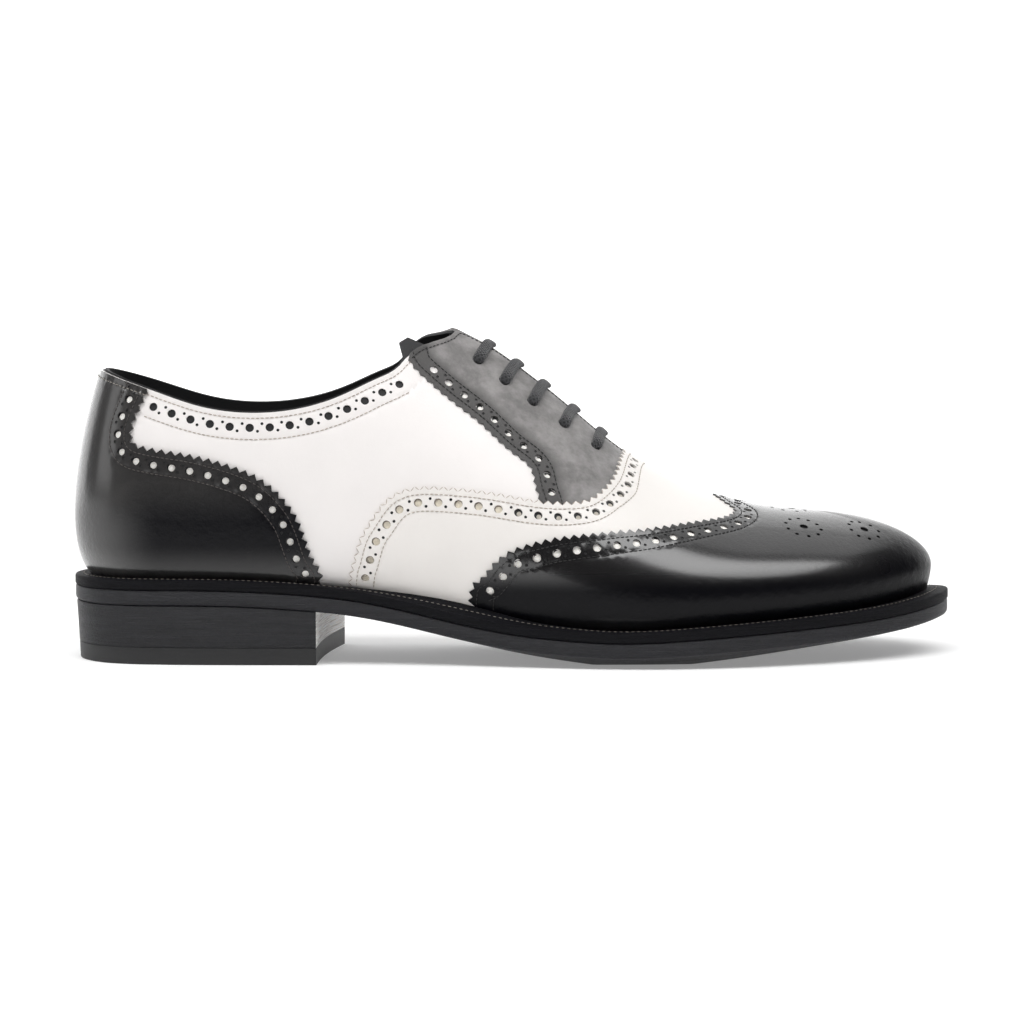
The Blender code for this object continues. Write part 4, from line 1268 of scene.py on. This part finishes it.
def stitch_template():
    """One stitch: a plump oval, its length along X."""
    pattern = bmesh.new()
    bmesh.ops.create_uvsphere(pattern, u_segments=6, v_segments=4, radius=0.5)
    bmesh.ops.scale(pattern, vec=(STITCH_LENGTH, THREAD, THREAD), verts=pattern.verts)
    return pattern


def repeated(name, pattern, spots, look):
    """Many copies of a small pattern in one mesh, each with its length, breadth and outward way."""
    shape_points = np.array([v.co[:] for v in pattern.verts])
    shape_faces = [[v.index for v in f.verts] for f in pattern.faces]
    pattern.free()
    points, faces = [], []
    for places, way, out in spots:
        across = unit(np.cross(out, way))
        for spot, a, b, c in zip(places, way, across, out):
            first = len(points) * len(shape_points)
            points.append(spot + shape_points @ np.array([a, b, c]))
            faces += [[first + v for v in face] for face in shape_faces]
    many = bpy.data.meshes.new(name)
    many.from_pydata(((np.vstack(points) - CENTRE) * MM).tolist(), [], faces)
    many.polygons.foreach_set("use_smooth", [True] * len(many.polygons))
    return placed(name, many, look)


def discs(name, radius, sides, spots, look):
    """Small discs that lie along the leather."""
    disc = bmesh.new()
    bmesh.ops.create_circle(disc, cap_ends=True, segments=sides, radius=radius)
    repeated(name, disc, [(places, beside(out), out) for places, out in spots], look)


def pin_floors():
    """A small dark disc low in each pinhole, as painted shade in place of the narrow hole's own dark, and one
    under each hole of the medallion.
    """
    spots = []
    for bands, layer in (
        (wing, CAP),
        (vamp_band, VAMP_LAYER),
        (facing_band, FACING_LAYER),
        (counter_band, COUNTER_LAYER),
        (collar_band, QUARTER),
    ):
        for band in bands:
            side, rib, share = band.chart.read(band.pins)
            pins = band.pins[(share > 0.035) & (share < opening_above(side, rib) - 0.01)]
            depth = DEPTHS["outer"][layer] + 0.32 + eased(layer, band.chart.read(pins)[1])
            out = band.chart.normals(pins)
            spots.append((band.chart.points(pins) - out * depth[:, None], out))
    # Painted shade: the pinhole discs are set within the panel's own thickness and are dark whatever lies
    # below.
    discs("pinhole_painted_shade", PINHOLE * 1.15, 7, spots, LINING_LEATHER)
    pins = np.vstack(medallion_spots)
    out = FRONT.normals(pins)
    foot = FRONT.points(pins) - out * (DEPTHS["inner"][CAP] - 0.03)
    discs("medallion_floors", FLOOR_RADIUS, 10, [(foot, out)], LINING_LEATHER)


def welt_stitches():
    """The stitches that hold the welt, along its top all round."""
    for side, name in enumerate(SIDES):
        feet = rib_feet(name)
        x = feet[:, 0]
        line = moved_out(feet, -shape("margin", x) * 0.52, name)
        height = shape("feather", x) - 0.1 - shape("drop", x) * 0.58 + 0.2
        path = np.column_stack([line, height])
        run = lengths(path)
        even = np.arange(1.2, run[-1], 2.0)
        spots = np.stack([np.interp(even, run, path[:, i]) for i in range(3)], 1)
        way = unit(np.gradient(spots, axis=0))
        out = unit(np.cross(way, np.cross([0.0, 0.0, 1.0], way)))
        THREADS["welt_thread"].append((spots, way * 0.95, out * 0.7))


def hole_floors(name, bands, depth, look, radius=FLOOR_RADIUS, shift=0.0, low=0.03, first=0.0, last=40.0):
    """A disc at the foot of each large hole, moved toward the hole's lower front by the shift. Each hole gets
    a dark disc, painted shade of its walls, and above it a smaller disc of the layer below, set toward the
    lower front, in a tone of painted light or shade.

    The vamp's discs stay above the quarter where it is eased outward."""
    spots = []
    for band in bands:
        side, rib, share = band.chart.read(band.holes)
        clear = (share > low) & (share < opening_above(side, rib) - 0.01)
        holes = band.holes[clear & (rib > first) & (rib <= last)]
        side, rib, share = band.chart.read(holes)
        out = band.chart.normals(holes)
        forward = unit(sample(ALONG_RIBS, side, rib, share)) - unit(sample(UP_RIBS, side, rib, share))
        deep = np.full(len(holes), depth)
        if bands is vamp_band:
            deep = np.minimum(depth, DEPTHS["outer"][QUARTER] + eased(QUARTER, rib) - 0.05)
        spots.append((band.chart.points(holes) - out * deep[:, None] + unit(forward) * shift, out))
    discs(name, radius, 12, spots, look)


def cut_edges(bands, depth):
    """The fibres along the pinked edges, a little darker than the leather."""
    for band in bands:
        points, out = band.chart.points(band.teeth), band.chart.normals(band.teeth)
        share = band.chart.read(band.teeth)[2]
        step = points[1:] - points[:-1]
        keep = (share[1:] > 0.02) & (share[1:] < 0.985)
        middle = (points[1:] + points[:-1]) / 2 - out[1:] * depth
        THREADS["cut_edge"].append((middle[keep], step[keep] / STITCH_LENGTH * 0.94, out[1:][keep] * 0.4))


welt_stitches()
pin_floors()
# Under the vamp, the holes behind this rib show the quarter's cream side, and those in front a darker one:
# both tones are the quarter's white painted in shade.
VAMP_SHADE_RIB = 16.2
REAR, AHEAD = {"low": 0.015, "last": VAMP_SHADE_RIB}, {"first": VAMP_SHADE_RIB}
# Per row: the dark floor discs are painted shade of the hole's walls; the backing discs over them, set toward
# the lower front, are the floor's painted light, whiter than the white calf in the black bands and greyer or
# creamier under the vamp.
for part, bands, depths, floor_look, backing, radius, shift, limits in (
    ("wing_hole", wing, (0.9, 0.84), CUT_EDGE_AND_HOLE_SHADE, PAINTED_LIGHT_BACKING, 1.2, 0.26, {}),
    ("counter_hole", counter_band, (0.95, 0.88), CUT_EDGE_AND_HOLE_SHADE, PAINTED_LIGHT_BACKING, 1.2, 0.26, {}),
    ("facing_hole", facing_band, (2.12, 2.05), CUT_EDGE_AND_HOLE_SHADE, PAINTED_LIGHT_BACKING, 0.9, 0.5, {"low": 0.45}),
    ("vamp_hole", vamp_band, (1.38, 1.31), HOLE_SHADE, PAINTED_SHADE_CREAM_BACKING, 1.22, 0.24, REAR),
    ("vamp_hole_front", vamp_band, (1.38, 1.31), CUT_EDGE_AND_HOLE_SHADE, PAINTED_SHADE_GREY_BACKING, 0.85, 0.5, AHEAD),
):
    hole_floors(part + "_floors", bands, depths[0], floor_look, **limits)
    hole_floors(part + "_backing", bands, depths[1], backing, radius, shift, **limits)
cut_edges(vamp_band, DEPTHS["outer"][VAMP_LAYER] + 0.05)
for thread, rows in THREADS.items():
    repeated(thread + "_stitches", stitch_template(), rows, THREAD_LOOKS[thread])


# Sole, heel, sock, tongue and lace, each shaped from a grid.
def from_grid(name, places, look, sharp=None):
    """A grid bent into a form. Places holds the points by column and row; rows may close on themselves."""
    columns, rows = places.shape[0] - 1, places.shape[1] - 1
    sheet = bmesh.new()
    bmesh.ops.create_grid(sheet, x_segments=columns, y_segments=rows, size=0.5, calc_uvs=True)
    uv = sheet.loops.layers.uv.verify()
    spans = [np.linalg.norm(np.diff(places, axis=a), axis=2).mean(axis=1 - a).sum() for a in (0, 1)]
    for face in sheet.faces:
        for loop in face.loops:
            co = loop.vert.co
            loop[uv].uv = ((co.x + 0.5) * spans[0] * MM, (co.y + 0.5) * spans[1] * MM)
    for vert in sheet.verts:
        i, j = round((vert.co.x + 0.5) * columns), round((vert.co.y + 0.5) * rows)
        vert.co = (places[i, j] - CENTRE) * MM
    bmesh.ops.remove_doubles(sheet, verts=sheet.verts, dist=2e-5)
    bmesh.ops.recalc_face_normals(sheet, faces=sheet.faces)
    closed = all(edge.is_manifold for edge in sheet.edges)
    if closed and sheet.calc_volume(signed=True) < 0:
        bmesh.ops.reverse_faces(sheet, faces=sheet.faces)
    for face in sheet.faces:
        face.smooth = True
    for edge in sheet.edges:
        if sharp is not None and edge.calc_face_angle(0.0) > sharp:
            edge.smooth = False
    mesh = bpy.data.meshes.new(name)
    sheet.to_mesh(mesh)
    sheet.free()
    return placed(name, mesh, look)


def sole_ring(inset, margins=0.0):
    """Points round the sole's edge seen from above, moved in by an inset and a share of the welt's margin."""
    rings = []
    for side in SIDES:
        feet = rib_feet(side)
        rings.append(moved_out(feet, -(inset + margins * shape("margin", feet[:, 0])), side))
    for i in (0, -1):
        rings[0][i] = rings[1][i] = (rings[0][i] + rings[1][i]) / 2
    return np.vstack([rings[0], rings[1][-2::-1]])


STATIONS = sole_ring(0.0)[:, 0]
WELT, OUTSOLE, TOP_PIECE = 3.6, 5.4, 6.0
WELT_TOP = shape("feather", STATIONS) - 0.1
FALL = shape("drop", STATIONS)
WELT_BOTTOM = WELT_TOP - FALL - WELT


def lifted(flat, height):
    """Points on the ground at a height."""
    return np.column_stack([flat, np.broadcast_to(height, len(flat))])


def middle_line(ring):
    """Each point's place on the line midway between the two sides."""
    return (ring + ring[::-1]) / 2


def welt():
    """The welt: a stitched shelf round the upper with a squared edge."""
    rows = []
    for margins, inset, height in (
        (1.0, 5.0, WELT_BOTTOM),
        (1.0, 5.0, WELT_TOP),
        (1.0, 0.6, WELT_TOP),
        (1.0, -0.4, WELT_TOP - FALL * 0.1),
        (0.5, 0.0, WELT_TOP - FALL * 0.6),
        (0.0, 0.7, WELT_TOP - FALL),
        (0.0, 0.3, WELT_TOP - FALL - 0.12),
        (0.0, 0.08, WELT_TOP - FALL - 0.4),
        (0.0, 0.0, WELT_TOP - FALL - 0.9),
        (0.0, 0.0, WELT_BOTTOM + 0.45),
        (0.0, 0.3, WELT_BOTTOM + 0.12),
        (0.0, 0.8, WELT_BOTTOM),
        (1.0, 5.0, WELT_BOTTOM),
    ):
        rows.append(lifted(sole_ring(inset, margins), height))
    made = from_grid("welt_leather", np.stack(rows, 1), WELT_LEATHER, sharp=0.5)
    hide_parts("welt")


def outsole():
    """The leather outsole, crowned a little under the forefoot, with a squared edge eased at its foot."""
    top, bottom = WELT_BOTTOM - 0.02, WELT_BOTTOM - 0.02 - OUTSOLE
    rows = [lifted(middle_line(sole_ring(1.0)), top)]
    for inset, height in (
        (0.9, top),
        (0.45, top - 0.1),
        (0.2, top - 0.4),
        (0.15, top - 1.0),
        (0.15, bottom + 1.6),
        (0.3, bottom + 0.9),
        (0.65, bottom + 0.35),
    ):
        rows.append(lifted(sole_ring(inset), height))
    edge = sole_ring(1.3)
    middle = middle_line(edge)
    for share in (0.0, 0.06, 0.14, 0.3, 0.5, 0.75, 1.0):
        place = edge + (middle - edge) * share
        fall = shape("crown", place[:, 0]) * math.sin(min(1.0, share / 0.55) * math.pi / 2)
        rows.append(lifted(place, np.maximum(0.0, bottom - fall)))
    made = from_grid("outsole_leather", np.stack(rows, 1), SOLE_LEATHER, sharp=0.5)
    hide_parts("outsole")


BREAST, BREAST_HOLLOW = (-68.5, -61.0), 1.6


def heel_ring(inset, steps=90, breast_steps=24):
    """The heel seen from above, from the medial corner round the back and across the hollow breast."""
    sides = []
    for side, breast in zip(SIDES, BREAST):
        feet = rib_feet(side)
        line = moved_out(feet, np.full(len(feet), -inset), side)
        line = line[: int(np.argmax(line[:, 0] > breast)) + 1]
        line[-1, 0] = breast
        run = lengths(line)
        even = np.linspace(0, run[-1], steps)
        sides.append(np.stack([np.interp(even, run, line[:, i]) for i in range(2)], 1))
    sides[0][0] = sides[1][0] = (sides[0][0] + sides[1][0]) / 2
    across = np.linspace(0, 1, breast_steps)[:, None]
    breast = sides[0][-1] * (1 - across) + sides[1][-1] * across
    breast[:, 0] -= BREAST_HOLLOW * np.sin(np.pi * across[:, 0])
    return np.vstack([sides[1][::-1], sides[0][1:], breast[1:]])


def heel():
    """The stack of lifts, trimmed flush, over the top piece. Its sides draw in a little to the floor."""
    x = heel_ring(1.0)[:, 0]
    high = shape("feather", x) - 0.1 - shape("drop", x) - WELT - OUTSOLE - 0.04
    low = TOP_PIECE + 0.03
    centre = np.repeat(heel_ring(6.0).mean(axis=0)[None], len(x), 0)
    rows = [lifted(centre, high)]
    for share, inset in (
        (1.0, 0.9),
        (0.985, 0.62),
        (0.95, 0.55),
        (0.5, 0.95),
        (0.05, 1.3),
        (0.012, 1.36),
        (0.0, 1.5),
    ):
        rows.append(lifted(heel_ring(inset), low + (high - low) * share))
    rows.append(lifted(centre, low))
    made = from_grid("heel_lifts", np.stack(rows, 1), HEEL_LEATHER, sharp=0.5)
    # The forward faces take the breast's grey, lightened as painted light.
    made.data.materials.append(HEEL_BREAST_PAINTED_LIGHT)
    for face in made.data.polygons:
        if face.normal.x > 0.8:
            face.material_index = 1
    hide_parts("heel_stack")
    rows = [lifted(centre, TOP_PIECE)]
    for inset, height in (
        (1.55, TOP_PIECE),
        (1.4, TOP_PIECE - 0.08),
        (1.38, TOP_PIECE - 0.3),
        (1.6, 0.5),
        (1.8, 0.1),
        (2.1, 0.0),
    ):
        rows.append(lifted(heel_ring(inset), height))
    rows.append(lifted(centre, 0.0))
    made = from_grid("heel_top_piece_rubber", np.stack(rows, 1), TOP_RUBBER, sharp=0.5)
    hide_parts("heel_top_piece")


def sock():
    """The insole with its sock, filling the inside from wall to wall, a little dished."""
    edge = sole_ring(3.2, 1.0)
    middle = middle_line(edge)
    rows = [lifted(middle, WELT_BOTTOM), lifted(edge + (middle - edge) * 0.1, WELT_BOTTOM)]
    for share, rise in ((0.0, 1.2), (0.03, 2.3), (0.1, 2.2), (0.3, 1.8), (0.6, 1.5), (0.85, 1.4), (1.0, 1.4)):
        place = edge + (middle - edge) * share
        rows.append(lifted(place, shape("feather", place[:, 0]) + rise))
    made = from_grid("sock_leather", np.stack(rows, 1), SOCK)
    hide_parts("insole")


welt()
outsole()
heel()
sock()


def crossing(station, girth, depth):
    """A point over the throat or under it. A girth below zero is on the medial side."""
    side = 0 if girth >= 0 else 1
    rib = np.interp(station, TOPS, np.arange(len(TOPS))) / FINE
    shares = np.linspace(1, 0, 160)
    index = np.full(160, side)
    line = sample(POINTS, index, np.full(160, rib), shares)
    out = unit(sample(NORMALS, index, np.full(160, rib), shares))
    run = lengths(line)
    at = np.array([np.interp(abs(girth), run, line[:, i]) for i in range(3)])
    way = unit(np.array([np.interp(abs(girth), run, out[:, i]) for i in range(3)]))
    return at - way * depth, way


TONGUE_HALF = 19.0


def tongue():
    """The tongue under the throat: soft leather with a rounded rim, hung from the vamp."""
    girths = np.linspace(-1, 1, 25)
    rows = []
    for station in np.linspace(-21.0, 50.0, 40):
        half = TONGUE_HALF * math.sqrt(1 - max(0.0, (-17.0 - station) / 6.0) ** 2)
        depth = np.interp(station, (33.0, 50.0), (7.4, 3.9))
        depth -= np.interp(station, (-21.0, -17.0, -13.5), (3.4, 2.8, 0.0))
        top = [crossing(station, g * half, depth + 0.5 * abs(g) ** 6)[0] for g in girths]
        low = [crossing(station, g * half, depth + 1.6 - 0.4 * abs(g) ** 6)[0] for g in girths[::-1]]
        rows.append(np.array(top + low + top[:1]))
    made = from_grid("tongue_leather", np.array(rows), LINING_LEATHER)
    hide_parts("tongue")


tongue()


def lace_middle():
    """The lace's middle line with the way that its flat side faces: bars over the throat, runs beneath."""
    over, under, low = 0.2, 5.2, 3.1
    rows = list(zip(EYELETS["station"], EYELETS["girth"], EYELETS["lean"]))[::-1]
    station, girth, _ = rows[0]
    path = [crossing(s, girth + 4.4, under) for s in (rows[-1][0], -2.0, 7.0, 16.0, station - 6.0)]
    path.append(crossing(station - 3.6, girth + 2.2, under))
    way = 1
    for number, (station, girth, lean) in enumerate(rows):
        path.append(crossing(station - 1.9, way * girth, under))
        path.append(crossing(station - 0.5, way * girth, under - 0.6))
        path.append(crossing(station, way * girth, low))
        bar = [(girth + 0.1, over + 1.4), (girth - 0.3, over + 0.2), (girth - 1.5, over - 0.25)]
        bar += [((girth - 1.9) * share, over - 0.1 * (1 - share)) for share in (0.7, 0.45, 0.2)]
        bar += [(0.0, over - 0.1)] + [(-g, d) for g, d in bar[::-1]]
        path += [crossing(station + lean * (1 - abs(g) / girth), way * g, d) for g, d in bar]
        path.append(crossing(station, -way * girth, low))
        if number == len(rows) - 1:
            path.append(crossing(station, -way * girth, under))
            break
        path.append(crossing(station - 0.5, -way * girth, under - 0.6))
        path.append(crossing(station - 1.9, -way * girth, under))
        way = -way
    return np.array([p for p, _ in path]), np.array([w for _, w in path])


LACE_HALF_WIDTH, LACE_HALF_THICKNESS, LACE_SIDES = 2.1, 1.0, 16


def lace():
    """A flat woven cord of cotton, rounded at its edges."""
    points, faces_out = lace_middle()
    run = lengths(points)
    even = np.linspace(0, run[-1], int(run[-1] / 0.55))
    centre = spline(run, points)(even)
    up = unit(np.stack([np.interp(even, run, faces_out[:, i]) for i in range(3)], 1))
    way = unit(np.gradient(centre, axis=0))
    side = unit(np.cross(way, up))
    for i in range(1, len(side)):
        held = side[i - 1] - way[i] * np.dot(side[i - 1], way[i])
        held /= max(1e-9, np.linalg.norm(held))
        wanted = side[i] if np.dot(side[i], held) > 0 else -side[i]
        side[i] = held * 0.55 + wanted * 0.45
        side[i] /= np.linalg.norm(side[i])
    up = np.cross(side, way)
    turn = np.linspace(0, 2 * np.pi, LACE_SIDES + 1)
    wide, thick = (np.sign(part) * np.abs(part) ** 0.8 for part in (np.cos(turn), np.sin(turn)))
    across = LACE_HALF_WIDTH * wide[None, :, None] * side[:, None]
    places = centre[:, None] + across + LACE_HALF_THICKNESS * thick[None, :, None] * up[:, None]
    ends = [np.repeat(centre[i][None, None], LACE_SIDES + 1, 1) for i in (0, -1)]
    made = from_grid("lace_cotton", np.concatenate([ends[0], places, ends[1]]), LACE_COTTON)
    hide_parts("lace")


lace()


# Floor, light and camera.
def flat_light(name, size, place, aim, power):
    """A soft rectangular light turned to its aim."""
    lamp = bpy.data.lights.new(name, "AREA")
    lamp.shape = "RECTANGLE"
    lamp.size, lamp.size_y = size
    lamp.energy = power
    made = bpy.data.objects.new(name, lamp)
    made.location = place
    made.rotation_euler = (Vector(aim) - Vector(place)).to_track_quat("-Z", "Y").to_euler()
    bpy.context.scene.collection.objects.link(made)


def stage_sheet(name, corners, look):
    """A flat sheet of the studio."""
    sheet = bmesh.new()
    sheet.faces.new([sheet.verts.new(c) for c in corners])
    mesh = bpy.data.meshes.new(name)
    sheet.to_mesh(mesh)
    sheet.free()
    mesh.materials.append(look)
    made = bpy.data.objects.new(name, mesh)
    bpy.context.scene.collection.objects.link(made)


floor_look = Look("pale_floor", (0.8, 0.8, 0.8, 1.0), 0.9, specular=0.1)
far_off = floor_look.place.axis(1).smooth(0.35, 1.1)
floor_look.set("Emission Color", far_off.mix((0.25, 0.25, 0.25, 1.0), (1.0, 1.0, 1.0, 1.0)))
floor_look.set("Emission Strength", 1.0)
stage_sheet("floor", ((-6, -0.66, 0), (6, -0.66, 0), (6, 6, 0), (-6, 6, 0)), floor_look.material)
back_look = Look("pale_backdrop", (0.9, 0.9, 0.9, 1.0), 0.9, specular=0.0)
back_look.set("Emission Color", (1.0, 1.0, 1.0, 1.0))
back_look.set("Emission Strength", 1.0)
stage_sheet("backdrop", ((-6, 3.0, 0), (6, 3.0, 0), (6, 3.0, 4), (-6, 3.0, 4)), back_look.material)

world = bpy.data.worlds.new("studio")
world.use_nodes = True
world.node_tree.nodes["Background"].inputs["Color"].default_value = (1.0, 1.0, 1.0, 1.0)
world.node_tree.nodes["Background"].inputs["Strength"].default_value = 0.04
bpy.context.scene.world = world
flat_light("softbox", (2.4, 0.68), (-0.05, -0.52, 1.15), (-0.05, -0.2, 0.0), 22.5)
flat_light("top_softbox", (2.4, 0.8), (-0.05, 0.45, 1.3), (-0.05, 0.3, 0.0), 5.5)
flat_light("side_card", (0.7, 0.9), (-1.3, -0.35, 0.55), (-0.1, 0.0, 0.05), 2.2)

bpy.context.scene.view_settings.view_transform = "Standard"
camera = bpy.data.objects.new("camera", bpy.data.cameras.new("camera"))
TARGET, AWAY, PITCH = Vector((-0.0009, -0.00385, 0.05)), 1.5, math.radians(5.3)
SENSOR_WIDTH_MM, PHOTO_WIDTH_PX, PX_PER_METRE = 36.0, 1024, 2840
camera.location = TARGET + Vector((0.0, -AWAY * math.cos(PITCH), AWAY * math.sin(PITCH)))
camera.rotation_euler = (math.pi / 2 - PITCH, 0.0, 0.0)
camera.data.sensor_width = SENSOR_WIDTH_MM
camera.data.lens = SENSOR_WIDTH_MM * AWAY * PX_PER_METRE / PHOTO_WIDTH_PX
bpy.context.scene.collection.objects.link(camera)
bpy.context.scene.camera = camera
